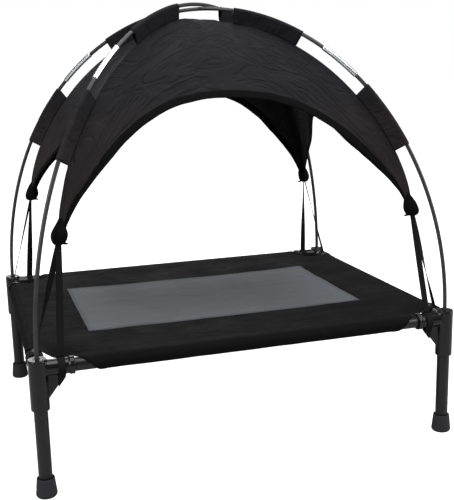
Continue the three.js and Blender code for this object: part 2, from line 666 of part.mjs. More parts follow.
// A strap over the stub that points along x (or y). Everything is laid out from the post axis.
function strap(corner, alongLong) {
  const inner = STUB_RADIUS + 2 * SEAT_GAP;
  const innerTip = GUSSET_THICKNESS / 2 + 2 * SEAT_GAP;
  const slope = GUSSET_DROP / GUSSET_REACH;
  const gussetEdge = STUB_RADIUS + (GUSSET_REACH - STRAP_FROM_POST + STRAP_WIDTH / 2) * slope;
  const tipDrop = gussetEdge - innerTip + 2 * SEAT_GAP + innerTip * 0.7;
  const outline = new THREE.Shape(
    dropOutline(inner + STRAP_THICKNESS, innerTip + STRAP_THICKNESS, tipDrop));
  outline.holes.push(new THREE.Path(dropOutline(inner, innerTip, tipDrop)));
  const loop = new THREE.ExtrudeGeometry(outline, { depth: STRAP_WIDTH, bevelEnabled: false })
    .translate(0, 0, -STRAP_WIDTH / 2)
    .rotateX(Math.PI / 2)
    .rotateZ(Math.PI / 2);
  const stubDirection = alongLong ? new THREE.Vector3(-corner.x, 0, 0) : new THREE.Vector3(0, -corner.y, 0);
  if (!alongLong) loop.rotateZ(Math.PI / 2);
  const middle = new THREE.Vector3(corner.x * HALF_X, corner.y * HALF_Y, RAIL_HEIGHT)
    .addScaledVector(stubDirection, STRAP_MIDDLE);
  loop.translate(middle.x, middle.y, middle.z);

  // The two bands of a knot start side by side so that they don't cross.
  const foot = middle.clone().addScaledVector(UP, inner + STRAP_THICKNESS / 2);
  const head = knotPlace(corner);
  head.z -= KNOT_LENGTH / 2 + 2 * SEAT_GAP;
  const inwardShift = STRAP_WIDTH / 3;
  head.x += (alongLong ? -corner.x : corner.x) * inwardShift;
  head.y += (alongLong ? corner.y : -corner.y) * inwardShift;
  const band = new THREE.BoxGeometry(1, 1, 1);
  const position = band.attributes.position;
  const widthAxis = alongLong ? new THREE.Vector3(1, 0, 0) : new THREE.Vector3(0, 1, 0);
  const thickAxis = new THREE.Vector3().crossVectors(UP, widthAxis);
  for (let i = 0; i < position.count; i += 1) {
    const point = foot.clone().lerp(head, position.getZ(i) + 0.5)
      .addScaledVector(widthAxis, position.getX(i) * STRAP_WIDTH)
      .addScaledVector(thickAxis, position.getY(i) * STRAP_THICKNESS);
    position.setXYZ(i, point.x, point.y, point.z);
  }
  return toGeometry(joined(loop, band));
}
for (const corner of CORNERS) {
  addPiece(`strap_long_rail_${corner.name}`, strap(corner, true), ELASTIC);
  addPiece(`strap_short_rail_${corner.name}`, strap(corner, false), ELASTIC);
}

export default bed;
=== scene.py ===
"""Raised dog cot with a crossed-pole sun canopy. Metres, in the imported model's own frame."""

import math

import bmesh
import bpy
from mathutils import Matrix, Vector, noise


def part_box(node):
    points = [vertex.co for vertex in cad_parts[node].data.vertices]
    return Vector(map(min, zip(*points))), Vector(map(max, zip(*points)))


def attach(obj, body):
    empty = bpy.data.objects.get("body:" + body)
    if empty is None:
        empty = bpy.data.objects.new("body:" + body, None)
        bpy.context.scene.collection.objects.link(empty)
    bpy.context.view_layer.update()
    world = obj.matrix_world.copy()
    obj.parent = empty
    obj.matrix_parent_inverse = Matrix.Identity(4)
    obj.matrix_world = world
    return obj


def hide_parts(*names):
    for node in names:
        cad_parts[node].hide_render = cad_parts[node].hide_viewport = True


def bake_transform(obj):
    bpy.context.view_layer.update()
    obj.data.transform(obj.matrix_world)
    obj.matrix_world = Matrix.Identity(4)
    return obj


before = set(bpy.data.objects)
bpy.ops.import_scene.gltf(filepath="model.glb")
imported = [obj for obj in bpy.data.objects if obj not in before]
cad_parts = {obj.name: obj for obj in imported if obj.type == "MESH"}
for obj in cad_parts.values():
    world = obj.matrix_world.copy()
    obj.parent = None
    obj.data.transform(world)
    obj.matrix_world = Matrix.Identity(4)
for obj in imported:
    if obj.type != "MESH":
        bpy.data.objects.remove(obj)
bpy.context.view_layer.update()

MM = 0.001
UP = Vector((0, 0, 1))

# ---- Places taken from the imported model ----
CORNERS = {
    "front_left": (-1, -1),
    "front_right": (1, -1),
    "back_right": (1, 1),
    "back_left": (-1, 1),
}
SIDES = [
    ("front", "front_left", "front_right"),
    ("right", "front_right", "back_right"),
    ("back", "back_right", "back_left"),
    ("left", "back_left", "front_left"),
]


def low(node):
    return Vector(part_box(node)[0])


def high(node):
    return Vector(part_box(node)[1])


def middle(node):
    return (low(node) + high(node)) / 2


def half_size(node):
    return (high(node) - low(node)) / 2


HALF_X = middle("foot_front_right").x
HALF_Y = middle("foot_back_right").y
CORNER_RADIUS = math.hypot(HALF_X, HALF_Y)
POST_TOP = high("connector_front_left").z
POST_BOTTOM = low("connector_front_left").z
POST_RADIUS = -HALF_X - low("connector_front_left").x
STUB_LENGTH = high("connector_front_left").x + HALF_X
RAIL_HEIGHT = middle("rail_front").z
RAIL_RADIUS = half_size("rail_front").z
LEG_RADIUS = half_size("leg_tube_front_left").x
LEG_TOP = high("leg_tube_front_left").z
LEG_BOTTOM = low("leg_tube_front_left").z
FOOT_RADIUS = half_size("foot_front_left").x
FOOT_HEIGHT = high("foot_front_left").z
CAP_TOP = high("pole_socket_front_left").z
CAP_RADIUS = half_size("pole_socket_front_left").x
PLUG_BOTTOM = low("pole_socket_front_left").z
COVER_TOP = high("bed_cover").z
POLE_BOTTOM = low("lower_pole_rod_back_left").z - CAP_TOP
ARM_TIP = low("canopy_panel_front_right").z
KNOT_MIDDLE = middle("arm_knot_front_left").z

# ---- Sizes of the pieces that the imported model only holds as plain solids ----
STUB_RADIUS = 13 * MM
BEAD_RADIUS = 15 * MM
BEAD_WIDTH = 3.5 * MM
BEAD_PITCH = 5 * MM
GUSSET_REACH = 30 * MM
GUSSET_DROP = 39 * MM
GUSSET_THICKNESS = 4 * MM
SOCKET_DEPTH = 50 * MM
ROD_RADIUS = 3.5 * MM
FERRULE_RADIUS = 4.7 * MM
FERRULE_LENGTH = 78 * MM
FERRULE_FROM_TOP = 294 * MM
CLOTH_INSET = 23.5 * MM
CLOTH_THICKNESS = 0.6 * MM
HIGH_SLEEVE = (70 * MM, 208 * MM)
LOW_SLEEVE = (359 * MM, 487 * MM)
POLE_SLEEVE_RADIUS = 4.9 * MM
KNOT_INSET = 63 * MM
LONG_SIDE = {
    "drop": 134 * MM, "sag": 18 * MM, "arch": [(0, 1), (0.55, 1), (0.77, 0.75), (0.9, 0)],
}
SHORT_SIDE = {
    "drop": 175 * MM, "sag": 30 * MM, "arch": [(0, 1), (0.25, 1), (0.45, 0.47), (0.9, 0)],
}
BINDING_WIDTH = 14 * MM
BINDING_THICKNESS = 2.2 * MM
STRAP_WIDTH = 12 * MM
STRAP_THICKNESS = 1.2 * MM
STRAP_MIDDLE = 37 * MM
COVER_THICKNESS = 1.0 * MM
COVER_SAG = 7 * MM
SLEEVE_TUCK = 30 * MM


# ---- Node groups and materials ----
def new_group(name, inputs, outputs):
    """An empty shader group with its sockets; inputs and outputs are (name, kind, default)."""
    group = bpy.data.node_groups.new(name, "ShaderNodeTree")
    for in_out, sockets in (("INPUT", inputs), ("OUTPUT", outputs)):
        for label, kind, default in sockets:
            socket = group.interface.new_socket(
                name=label, in_out=in_out, socket_type=f"NodeSocket{kind}"
            )
            if default is not None:
                socket.default_value = default
    start = group.nodes.new("NodeGroupInput")
    end = group.nodes.new("NodeGroupOutput")
    return group, start, end


def add_node(tree, kind, inputs=(), **settings):
    """A node with its settings; inputs maps a socket to a value or to another node's output."""
    node = tree.nodes.new(f"ShaderNode{kind}")
    for key, value in settings.items():
        setattr(node, key, value)
    for key, value in dict(inputs).items():
        if isinstance(value, bpy.types.NodeSocket):
            tree.links.new(value, node.inputs[key])
        else:
            node.inputs[key].default_value = value
    return node


def weave_group():
    """Threads that cross: pitch is the distance between threads in metres."""
    group, start, end = new_group(
        "woven_threads",
        [("Vector", "Vector", None), ("Pitch", "Float", 0.0006), ("Loose", "Float", 0.5)],
        [("Height", "Float", None)],
    )
    period = 0.1 * math.pi
    scale = add_node(group, "Math", {0: period, 1: start.outputs["Pitch"]}, operation="DIVIDE")
    bands = [
        add_node(
            group,
            "TexWave",
            {"Vector": start.outputs["Vector"], "Scale": scale.outputs[0],
             "Distortion": start.outputs["Loose"], "Detail": 0.0},
            bands_direction=direction,
        )
        for direction in ("X", "Y")
    ]
    over = add_node(
        group, "Math", {0: bands[0].outputs["Fac"], 1: bands[1].outputs["Fac"]}, operation="MULTIPLY"
    )
    group.links.new(over.outputs[0], end.inputs["Height"])
    return group


def mottle_group():
    """Soft changes of colour and roughness over a surface, as handling and dust leave."""
    group, start, end = new_group(
        "soft_mottle",
        [("Vector", "Vector", None), ("Colour", "Color", (0.02, 0.02, 0.02, 1)),
         ("Other colour", "Color", (0.04, 0.04, 0.04, 1)), ("Scale", "Float", 12.0),
         ("Roughness low", "Float", 0.4), ("Roughness high", "Float", 0.6)],
        [("Colour", "Color", None), ("Roughness", "Float", None)],
    )
    cloud = add_node(
        group, "TexNoise",
        {"Vector": start.outputs["Vector"], "Scale": start.outputs["Scale"], "Detail": 4.0},
    )
    mix = add_node(group, "Mix", {}, data_type="RGBA")
    group.links.new(cloud.outputs["Fac"], mix.inputs["Factor"])
    group.links.new(start.outputs["Colour"], mix.inputs["A"])
    group.links.new(start.outputs["Other colour"], mix.inputs["B"])
    spread = add_node(
        group, "MapRange",
        {"Value": cloud.outputs["Fac"], "From Min": 0.3, "From Max": 0.7,
         "To Min": start.outputs["Roughness low"], "To Max": start.outputs["Roughness high"]},
    )
    group.links.new(mix.outputs["Result"], end.inputs["Colour"])
    group.links.new(spread.outputs["Result"], end.inputs["Roughness"])
    return group


def grain_group():
    """The fine pebbled skin of moulded plastic, rubber or powder paint."""
    group, start, end = new_group(
        "fine_grain",
        [("Vector", "Vector", None), ("Scale", "Float", 900.0), ("Mix", "Float", 0.3)],
        [("Height", "Float", None)],
    )
    fine = add_node(
        group, "TexNoise",
        {"Vector": start.outputs["Vector"], "Scale": start.outputs["Scale"], "Detail": 2.0},
    )
    broad = add_node(
        group, "TexNoise", {"Vector": start.outputs["Vector"], "Scale": 60.0, "Detail": 1.0}
    )
    blend = add_node(group, "Mix", {}, data_type="FLOAT")
    group.links.new(start.outputs["Mix"], blend.inputs["Factor"])
    group.links.new(fine.outputs["Fac"], blend.inputs["A"])
    group.links.new(broad.outputs["Fac"], blend.inputs["B"])
    group.links.new(blend.outputs["Result"], end.inputs["Height"])
    return group


def crease_group():
    """Thin soft creases that cross at random, as in folded cloth."""
    group, start, end = new_group(
        "folded_creases",
        [("Vector", "Vector", None), ("Scale", "Float", 9.0)],
        [("Height", "Float", None)],
    )
    drift = add_node(
        group, "TexNoise",
        {"Vector": start.outputs["Vector"], "Scale": start.outputs["Scale"],
         "Detail": 3.0, "Distortion": 1.5},
    )
    centre = add_node(group, "Math", {0: drift.outputs["Fac"], 1: 0.5}, operation="SUBTRACT")
    ridge = add_node(group, "Math", {0: centre.outputs[0]}, operation="ABSOLUTE")
    sharp = add_node(
        group, "MapRange", {"Value": ridge.outputs[0], "From Min": 0.0, "From Max": 0.09}
    )
    group.links.new(sharp.outputs["Result"], end.inputs["Height"])
    return group


WEAVE = weave_group()
MOTTLE = mottle_group()
GRAIN = grain_group()
CREASES = crease_group()


def use_group(tree, group, **values):
    """Places a shared group; keyword names stand for its sockets, with _ for a space."""
    node = tree.nodes.new("ShaderNodeGroup")
    node.node_tree = group
    for key, value in values.items():
        label = key.replace("_", " ")
        if isinstance(value, bpy.types.NodeSocket):
            tree.links.new(value, node.inputs[label])
        else:
            node.inputs[label].default_value = value
    return node


def grey(value, blue=0.0, red=0.0):
    return (value + red, value, value + blue, 1.0)


def base_material(name, **shader):
    """A material with a Principled shader; keyword names stand for its sockets."""
    material = bpy.data.materials.new(name)
    material.use_nodes = True
    tree = material.node_tree
    bsdf = tree.nodes["Principled BSDF"]
    for key, value in shader.items():
        bsdf.inputs[key.replace("_", " ")].default_value = value
    place = tree.nodes.new("ShaderNodeTexCoord")
    return material, tree, bsdf, place


def set_look(tree, bsdf, vector, colour, other, scale, roughness):
    mottle = use_group(
        tree, MOTTLE, Vector=vector, Colour=colour, Other_colour=other, Scale=scale,
        Roughness_low=roughness[0], Roughness_high=roughness[1],
    )
    tree.links.new(mottle.outputs["Colour"], bsdf.inputs["Base Color"])
    tree.links.new(mottle.outputs["Roughness"], bsdf.inputs["Roughness"])
    return mottle


def bump(tree, bsdf, height, distance, strength=1.0, under=None):
    """Adds a relief to the shader's normal and returns the node, so that another can lie on it."""
    node = add_node(
        tree, "Bump", {"Height": height, "Distance": distance, "Strength": strength}
    )
    if under is not None:
        tree.links.new(under.outputs["Normal"], node.inputs["Normal"])
    tree.links.new(node.outputs["Normal"], bsdf.inputs["Normal"])
    return node


def hard_material(name, colour, other, roughness, grain_scale, grain_height, **shader):
    """Plastic, rubber or paint: mottled colour over a fine grain, on object coordinates."""
    material, tree, bsdf, place = base_material(name, **shader)
    vector = place.outputs["Object"]
    set_look(tree, bsdf, vector, colour, other, 30.0, roughness)
    grain = use_group(tree, GRAIN, Vector=vector, Scale=grain_scale)
    bump(tree, bsdf, grain.outputs["Height"], grain_height)
    return material


def cloth_material(name, colour, other, pitch, relief, crease_scale, crease_height, **shader):
    """Woven cloth: threads and creases follow the piece's own UV map, which is in metres."""
    material, tree, bsdf, place = base_material(name, **shader)
    vector = place.outputs["UV"]
    set_look(tree, bsdf, vector, colour, other, 14.0, (0.72, 0.9))
    weave = use_group(tree, WEAVE, Vector=vector, Pitch=pitch)
    folds = use_group(tree, CREASES, Vector=vector, Scale=crease_scale)
    first = bump(tree, bsdf, folds.outputs["Height"], crease_height)
    bump(tree, bsdf, weave.outputs["Height"], relief, under=first)
    return material


def canopy_material():
    """Thin polyester, bluish black; low on the arms a warm dark grey is mixed in as painted backlight,
    light shining through the thin cloth.
    """
    material = cloth_material(
        "canopy_polyester", grey(0.006, 0.0015), grey(0.012, 0.003), 0.45 * MM, 0.05 * MM,
        11.0, 1.5 * MM, Specular_IOR_Level=0.16,
    )
    tree = material.node_tree
    place = add_node(tree, "TexCoord")
    parts = add_node(tree, "SeparateXYZ", {"Vector": place.outputs["Object"]})
    # painted backlight: low on the arms, by height and noise, a lighter warm grey stands in for light
    # shining through the cloth
    height = add_node(
        tree, "MapRange",
        {"Value": parts.outputs["Z"], "From Min": ARM_TIP, "From Max": ARM_TIP + 0.26,
         "To Min": 1.0, "To Max": 0.0},
    )
    cloud = add_node(tree, "TexNoise", {"Vector": place.outputs["Object"], "Scale": 16.0})
    share = add_node(
        tree, "Math", {0: height.outputs["Result"], 1: cloud.outputs["Fac"]}, operation="MULTIPLY"
    )
    painted_backlight = add_node(tree, "Mix", {"B": (0.038, 0.03, 0.028, 1.0)}, data_type="RGBA")
    bsdf = tree.nodes["Principled BSDF"]
    old = bsdf.inputs["Base Color"].links[0].from_socket
    tree.links.new(share.outputs[0], painted_backlight.inputs["Factor"])
    tree.links.new(old, painted_backlight.inputs["A"])
    tree.links.new(painted_backlight.outputs["Result"], bsdf.inputs["Base Color"])
    return material


def mesh_material():
    """Grey mesh: light threads, with the holes of the open grid painted dark as painted shade of the space
    seen through them.
    """
    material = cloth_material(
        "grey_mesh", grey(0.13, 0.015, -0.01), grey(0.17, 0.018, -0.012), 0.9 * MM, 0.12 * MM,
        9.0, 1.0 * MM, Specular_IOR_Level=0.3,
    )
    tree = material.node_tree
    bsdf = tree.nodes["Principled BSDF"]
    place = add_node(tree, "TexCoord")
    grid = use_group(tree, WEAVE, Vector=place.outputs["UV"], Pitch=4.5 * MM, Loose=0.1)
    lines = add_node(
        tree, "MapRange", {"Value": grid.outputs["Height"], "From Min": 0.0, "From Max": 0.35,
                           "To Min": 0.45, "To Max": 0.0},
    )
    # painted shade: a dark grey in the holes stands in for the shaded space under the open mesh
    painted_hole_shade = add_node(tree, "Mix", {"B": grey(0.03, 0.008)}, data_type="RGBA")
    old = bsdf.inputs["Base Color"].links[0].from_socket
    tree.links.new(lines.outputs["Result"], painted_hole_shade.inputs["Factor"])
    tree.links.new(old, painted_hole_shade.inputs["A"])
    tree.links.new(painted_hole_shade.outputs["Result"], bsdf.inputs["Base Color"])
    return material


def ferrule_material():
    """Drawn metal with fine lines round the tube."""
    material, tree, bsdf, place = base_material(
        "bright_ferrule", Metallic=1.0, Base_Color=(0.78, 0.79, 0.81, 1.0), Roughness=0.24
    )
    stretched = add_node(
        tree, "Mapping", {"Vector": place.outputs["UV"], "Scale": (0.05, 1.0, 1.0)}
    )
    set_look(
        tree, bsdf, stretched.outputs["Vector"], (0.66, 0.70, 0.72, 1), (0.82, 0.86, 0.88, 1),
        900.0, (0.18, 0.32),
    )
    grain = use_group(tree, GRAIN, Vector=stretched.outputs["Vector"], Scale=2500.0, Mix=0.1)
    bump(tree, bsdf, grain.outputs["Height"], 0.02 * MM)
    return material


def elastic_material():
    """Flat elastic: ribs run along the band."""
    material, tree, bsdf, place = base_material("ribbed_elastic", Specular_IOR_Level=0.15)
    vector = place.outputs["UV"]
    set_look(tree, bsdf, vector, grey(0.004), grey(0.008), 40.0, (0.7, 0.88))
    ribs = add_node(
        tree, "TexWave",
        {"Vector": vector, "Scale": 0.1 * math.pi / (1.1 * MM), "Distortion": 0.3},
        bands_direction="X",
    )
    threads = use_group(tree, WEAVE, Vector=vector, Pitch=0.7 * MM)
    first = bump(tree, bsdf, ribs.outputs["Fac"], 0.18 * MM)
    bump(tree, bsdf, threads.outputs["Height"], 0.08 * MM, under=first)
    return material


MOULDED = hard_material(
    "moulded_black", grey(0.003), grey(0.006), (0.16, 0.26), 700.0, 0.03 * MM,
    Coat_Weight=0.05, Specular_IOR_Level=0.4,
)
TUBE_PAINT = hard_material(
    "tube_paint", grey(0.007, 0.001), grey(0.012, 0.002), (0.28, 0.4), 1500.0, 0.03 * MM,
    Specular_IOR_Level=0.4,
)
RUBBER = hard_material(
    "foot_rubber", grey(0.02, 0.003), grey(0.028, 0.003), (0.68, 0.85), 1100.0, 0.08 * MM,
    Specular_IOR_Level=0.3,
)
FIBREGLASS = hard_material(
    "fibreglass", grey(0.02), grey(0.038), (0.34, 0.5), 1600.0, 0.02 * MM
)
CORD_COVER = hard_material("cord_cover", grey(0.02), grey(0.05), (0.7, 0.9), 1200.0, 0.08 * MM)
FERRULE = ferrule_material()
CANOPY = canopy_material()
BINDING = cloth_material(
    "binding_tape", grey(0.002), grey(0.004), 0.7 * MM, 0.1 * MM, 30.0, 0.3 * MM,
    Specular_IOR_Level=0.07,
)
OXFORD = cloth_material(
    "oxford_cover", grey(0.003), grey(0.006, 0.0005), 0.8 * MM, 0.12 * MM, 10.0, 0.8 * MM,
    Specular_IOR_Level=0.07,
)
THREAD = cloth_material(
    "sewing_thread", grey(0.01), grey(0.018), 0.3 * MM, 0.05 * MM, 60.0, 0.02 * MM,
    Specular_IOR_Level=0.3,
)
GREY_MESH = mesh_material()
ELASTIC = elastic_material()


# ---- Mesh helpers ----
def finish_piece(bm, name, material, smooth=True):
    """Turns a bmesh into an object in the scene, smooth shaded."""
    mesh = bpy.data.meshes.new(name)
    bm.to_mesh(mesh)
    bm.free()
    if smooth:
        mesh.polygons.foreach_set("use_smooth", [True] * len(mesh.polygons))
    mesh.materials.append(material)
    piece = bpy.data.objects.new(name, mesh)
    bpy.context.scene.collection.objects.link(piece)
    return piece


def place_piece(piece, body, material_slot, *nodes):
    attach(piece, body)
    if nodes:
        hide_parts(*nodes)
    return piece


def turned(bm, profile, segments=48):
    """Spins a closed (radius, height) outline about +Z and returns the new vertices."""
    before = set(bm.verts)
    ring = [bm.verts.new((radius, 0, height)) for radius, height in profile]
    edges = [bm.edges.new((ring[i - 1], ring[i])) for i in range(len(ring))]
    on_axis = [e for e in edges if all(v.co.x < 1e-7 for v in e.verts)]
    for edge in on_axis:
        edges.remove(edge)
        bm.edges.remove(edge)
    bmesh.ops.spin(
        bm, geom=ring + edges, cent=(0, 0, 0), axis=(0, 0, 1), angle=2 * math.pi,
        steps=segments, use_merge=True,
    )
    made = [v for v in bm.verts if v not in before]
    bmesh.ops.remove_doubles(bm, verts=made, dist=1e-6)
    made = [v for v in bm.verts if v not in before]
    faces = list({f for v in made for f in v.link_faces})
    bmesh.ops.recalc_face_normals(bm, faces=faces)
    return made


def rounded(corners, radius, steps=3):
    """A closed outline whose corners are cut by small arcs."""
    points = []
    count = len(corners)
    for i, corner in enumerate(corners):
        here = Vector(corner)
        before, after = Vector(corners[i - 1]), Vector(corners[(i + 1) % count])
        if here.x < 1e-7:
            points.append(tuple(here))
            continue
        cut = min(radius, 0.45 * (before - here).length, 0.45 * (after - here).length)
        start = here + (before - here).normalized() * cut
        end = here + (after - here).normalized() * cut
        for step in range(steps + 1):
            t = step / steps
            spot = start * (1 - t) ** 2 + here * 2 * t * (1 - t) + end * t ** 2
            points.append((spot.x, spot.y))
    return points


def shaped_grid(bm, columns, rows, place, uv_size):
    """Adds a grid whose points go where place(across, along) says, with a UV map in metres."""
    uv_layer = bm.loops.layers.uv.verify()
    made = bmesh.ops.create_grid(bm, x_segments=columns, y_segments=rows, size=1.0)["verts"]
    spots = {v: ((v.co.x + 1) / 2, (v.co.y + 1) / 2) for v in made}
    for face in {f for v in made for f in v.link_faces}:
        for loop in face.loops:
            across, along = spots[loop.vert]
            loop[uv_layer].uv = (across * uv_size[0], along * uv_size[1])
    for vert, (across, along) in spots.items():
        vert.co = place(across, along)
    return made


def weld(bm, distance=1e-5):
    bmesh.ops.remove_doubles(bm, verts=bm.verts[:], dist=distance)
    bmesh.ops.recalc_face_normals(bm, faces=bm.faces[:])


def thicken(piece, thickness, offset=0.0):
    solidify = piece.modifiers.new("cloth thickness", "SOLIDIFY")
    solidify.thickness = thickness
    solidify.offset = offset
    return solidify


def ripple(point, scale, seed):
    """Smooth noise from -1 to 1 at a point."""
    return noise.noise(Vector(point) * scale + Vector((seed, 2.3 * seed, -1.7 * seed)))


def at_corner(bm, corner, verts=None):
    x, y = CORNERS[corner]
    bmesh.ops.translate(bm, vec=(x * HALF_X, y * HALF_Y, 0), verts=verts or bm.verts[:])


# ---- Corner connectors ----
QUARTER_TURNS = {"front_left": 0, "front_right": 1, "back_right": 2, "back_left": 3}
MOULD_GRID = 0.95 * MM


def ring_body(bm, inner, outer, bottom, top, closed_until=None):
    """A round wall; with closed_until its bore is blind below that height."""
    profile = [(outer, bottom), (outer, top), (inner, top)]
    if closed_until is None:
        profile += [(inner, bottom)]
    else:
        profile += [(inner, closed_until), (0, closed_until), (0, bottom)]
    return turned(bm, profile, 56)


def connector_arm(bm, lay):
    """One stub with its collar beads, turned by lay from +Z to its side."""
    made = ring_body(
        bm, RAIL_RADIUS + 0.35 * MM, STUB_RADIUS, 11.6 * MM, STUB_LENGTH, POST_RADIUS + 2 * MM
    )
    for bead in (0, 1):
        top = STUB_LENGTH - bead * BEAD_PITCH
        inner = RAIL_RADIUS + 0.6 * MM
        outline = rounded(
            [(inner, top - BEAD_WIDTH), (BEAD_RADIUS, top - BEAD_WIDTH), (BEAD_RADIUS, top), (inner, top)],
            1.2 * MM,
        )
        made += turned(bm, outline, 56)
    bmesh.ops.transform(bm, matrix=lay, verts=[v for v in made if v.is_valid])
    return made


def gusset(bm, turn):
    start = 12.2 * MM
    outline = [
        (start, -STUB_RADIUS + 2.5 * MM),
        (start, -STUB_RADIUS - GUSSET_DROP - (POST_RADIUS - start)),
        (POST_RADIUS + GUSSET_REACH, -STUB_RADIUS),
        (POST_RADIUS + GUSSET_REACH, -STUB_RADIUS + 1.2 * MM),
    ]
    verts = [bm.verts.new((x, -GUSSET_THICKNESS / 2, z)) for x, z in outline]
    face = bm.faces.new(verts)
    wall = bmesh.ops.extrude_face_region(bm, geom=[face])["geom"]
    moved = [v for v in wall if isinstance(v, bmesh.types.BMVert)]
    bmesh.ops.translate(bm, vec=(0, GUSSET_THICKNESS, 0), verts=moved)
    bmesh.ops.transform(bm, matrix=turn, verts=verts + moved)
    bmesh.ops.recalc_face_normals(bm, faces=list({f for v in verts + moved for f in v.link_faces}))


def connector_mesh():
    """The post, stubs and gussets, joined by a fine remesh that also softens their inner corners."""
    bm = bmesh.new()
    bore = LEG_RADIUS + 0.35 * MM
    plug = 8.35 * MM
    top, bottom = POST_TOP - RAIL_HEIGHT, POST_BOTTOM - RAIL_HEIGHT
    floor, shoulder = PLUG_BOTTOM - RAIL_HEIGHT - 0.3 * MM, bottom + SOCKET_DEPTH
    turned(bm, rounded([
        (POST_RADIUS, bottom), (POST_RADIUS, top), (plug, top), (plug, floor), (0, floor),
        (0, shoulder), (bore, shoulder), (bore, bottom),
    ], 1.0 * MM), 56)
    connector_arm(bm, Matrix.Rotation(math.pi / 2, 4, "Y"))
    connector_arm(bm, Matrix.Rotation(-math.pi / 2, 4, "X"))
    gusset(bm, Matrix.Identity(4))
    gusset(bm, Matrix.Rotation(math.pi / 2, 4, "Z"))
    blank = finish_piece(bm, "connector_blank", MOULDED)
    remesh = blank.modifiers.new("join", "REMESH")
    remesh.mode = "VOXEL"
    remesh.voxel_size = MOULD_GRID
    depsgraph = bpy.context.evaluated_depsgraph_get()
    joined = bpy.data.meshes.new_from_object(blank.evaluated_get(depsgraph))
    bpy.data.objects.remove(blank)
    return joined


def build_connectors():
    blank = connector_mesh()
    for corner in CORNERS:
        bm = bmesh.new()
        bm.from_mesh(blank)
        for _ in range(3):
            bmesh.ops.smooth_vert(
                bm, verts=bm.verts[:], factor=0.5, use_axis_x=True, use_axis_y=True, use_axis_z=True
            )
        turn = Matrix.Rotation(QUARTER_TURNS[corner] * math.pi / 2, 4, "Z")
        bmesh.ops.transform(
            bm, matrix=Matrix.Translation((0, 0, RAIL_HEIGHT)) @ turn, verts=bm.verts[:]
        )
        at_corner(bm, corner)
        piece = finish_piece(bm, f"moulded_connector_{corner}", MOULDED)
        place_piece(piece, "bed_frame", "moulded_black", f"connector_{corner}")


def build_caps():
    for corner in CORNERS:
        bm = bmesh.new()
        bore = ROD_RADIUS + 0.6 * MM
        lip = POST_TOP + 0.3 * MM
        turned(bm, rounded([
            (0, PLUG_BOTTOM), (8 * MM, PLUG_BOTTOM), (8 * MM, lip), (CAP_RADIUS, lip),
            (CAP_RADIUS, CAP_TOP), (bore, CAP_TOP), (bore, PLUG_BOTTOM + 3 * MM),
            (0, PLUG_BOTTOM + 3 * MM),
        ], 0.8 * MM), 64)
        at_corner(bm, corner)
        piece = finish_piece(bm, f"post_cap_{corner}", MOULDED)
        place_piece(piece, "bed_frame", "moulded_black", f"pole_socket_{corner}")


# ---- Tubes and feet ----
TUBE_SIDES = 56


def tube(bm, radius, wall, bottom, top):
    inner = radius - wall
    outline = [(radius, bottom), (radius, top), (inner, top), (inner, bottom)]
    return turned(bm, rounded(outline, 0.4 * MM, 2), TUBE_SIDES)


def build_legs():
    wall = 1.4 * MM
    for corner in CORNERS:
        bm = bmesh.new()
        tube(bm, LEG_RADIUS, wall, LEG_BOTTOM, LEG_TOP)
        at_corner(bm, corner)
        leg = finish_piece(bm, f"painted_leg_{corner}", TUBE_PAINT)
        place_piece(leg, f"leg_{corner}", "tube_paint", f"leg_tube_{corner}")

        bm = bmesh.new()
        bore = LEG_RADIUS + 0.3 * MM
        top_radius = FOOT_RADIUS - 3 * MM
        floor = LEG_BOTTOM - 0.3 * MM
        turned(bm, rounded([
            (0, 0), (FOOT_RADIUS - 2.2 * MM, 0), (FOOT_RADIUS, 3.2 * MM), (FOOT_RADIUS - 0.35 * MM, 7 * MM),
            (top_radius, FOOT_HEIGHT), (bore + 0.9 * MM, FOOT_HEIGHT),
            (bore, FOOT_HEIGHT - 1.4 * MM), (bore, floor), (0, floor),
        ], 1.2 * MM), 64)
        at_corner(bm, corner)
        foot = finish_piece(bm, f"rubber_foot_{corner}", RUBBER)
        place_piece(foot, f"leg_{corner}", "rubber_feet", f"foot_{corner}")


def build_rails():
    for name, lay in (
        ("front", Matrix.Rotation(math.pi / 2, 4, "Y")),
        ("back", Matrix.Rotation(math.pi / 2, 4, "Y")),
        ("left", Matrix.Rotation(-math.pi / 2, 4, "X")),
        ("right", Matrix.Rotation(-math.pi / 2, 4, "X")),
    ):
        node = f"rail_{name}"
        size = half_size(node)
        half_length = max(size.x, size.y)
        bm = bmesh.new()
        tube(bm, RAIL_RADIUS, 1.2 * MM, -half_length, half_length)
        bmesh.ops.transform(bm, matrix=Matrix.Translation(middle(node)) @ lay, verts=bm.verts[:])
        piece = finish_piece(bm, f"painted_rail_{name}", TUBE_PAINT)
        place_piece(piece, "bed_frame", "tube_paint", node)


# ---- Bed cover ----
LONG_SLEEVE_HALF = HALF_X - STUB_LENGTH - 7 * MM
SHORT_SLEEVE_HALF = HALF_Y - STUB_LENGTH - 5 * MM
MESH_HALF = (half_size("mesh_panel").x, half_size("mesh_panel").y)
COVER_OUTER = COVER_TOP - RAIL_HEIGHT
TUCK = 6 * MM


CORNER_DROOP = 8 * MM
DROOP_REACH = 55 * MM


def corner_droop(x, y):
    """The free edge across a cut corner hangs below the rails."""
    long_gap, short_gap = HALF_X - LONG_SLEEVE_HALF, HALF_Y - SHORT_SLEEVE_HALF
    to_short, to_long = HALF_X - abs(x), HALF_Y - abs(y)
    inside = (to_short / long_gap + to_long / short_gap - 1) * min(long_gap, short_gap)
    near = max(0.0, 1 - max(0.0, inside) / DROOP_REACH)
    free = min(1.0, max(0.0, min(to_short, to_long) - 8 * MM) / (20 * MM))
    return CORNER_DROOP * near * near * (3 - 2 * near) * free


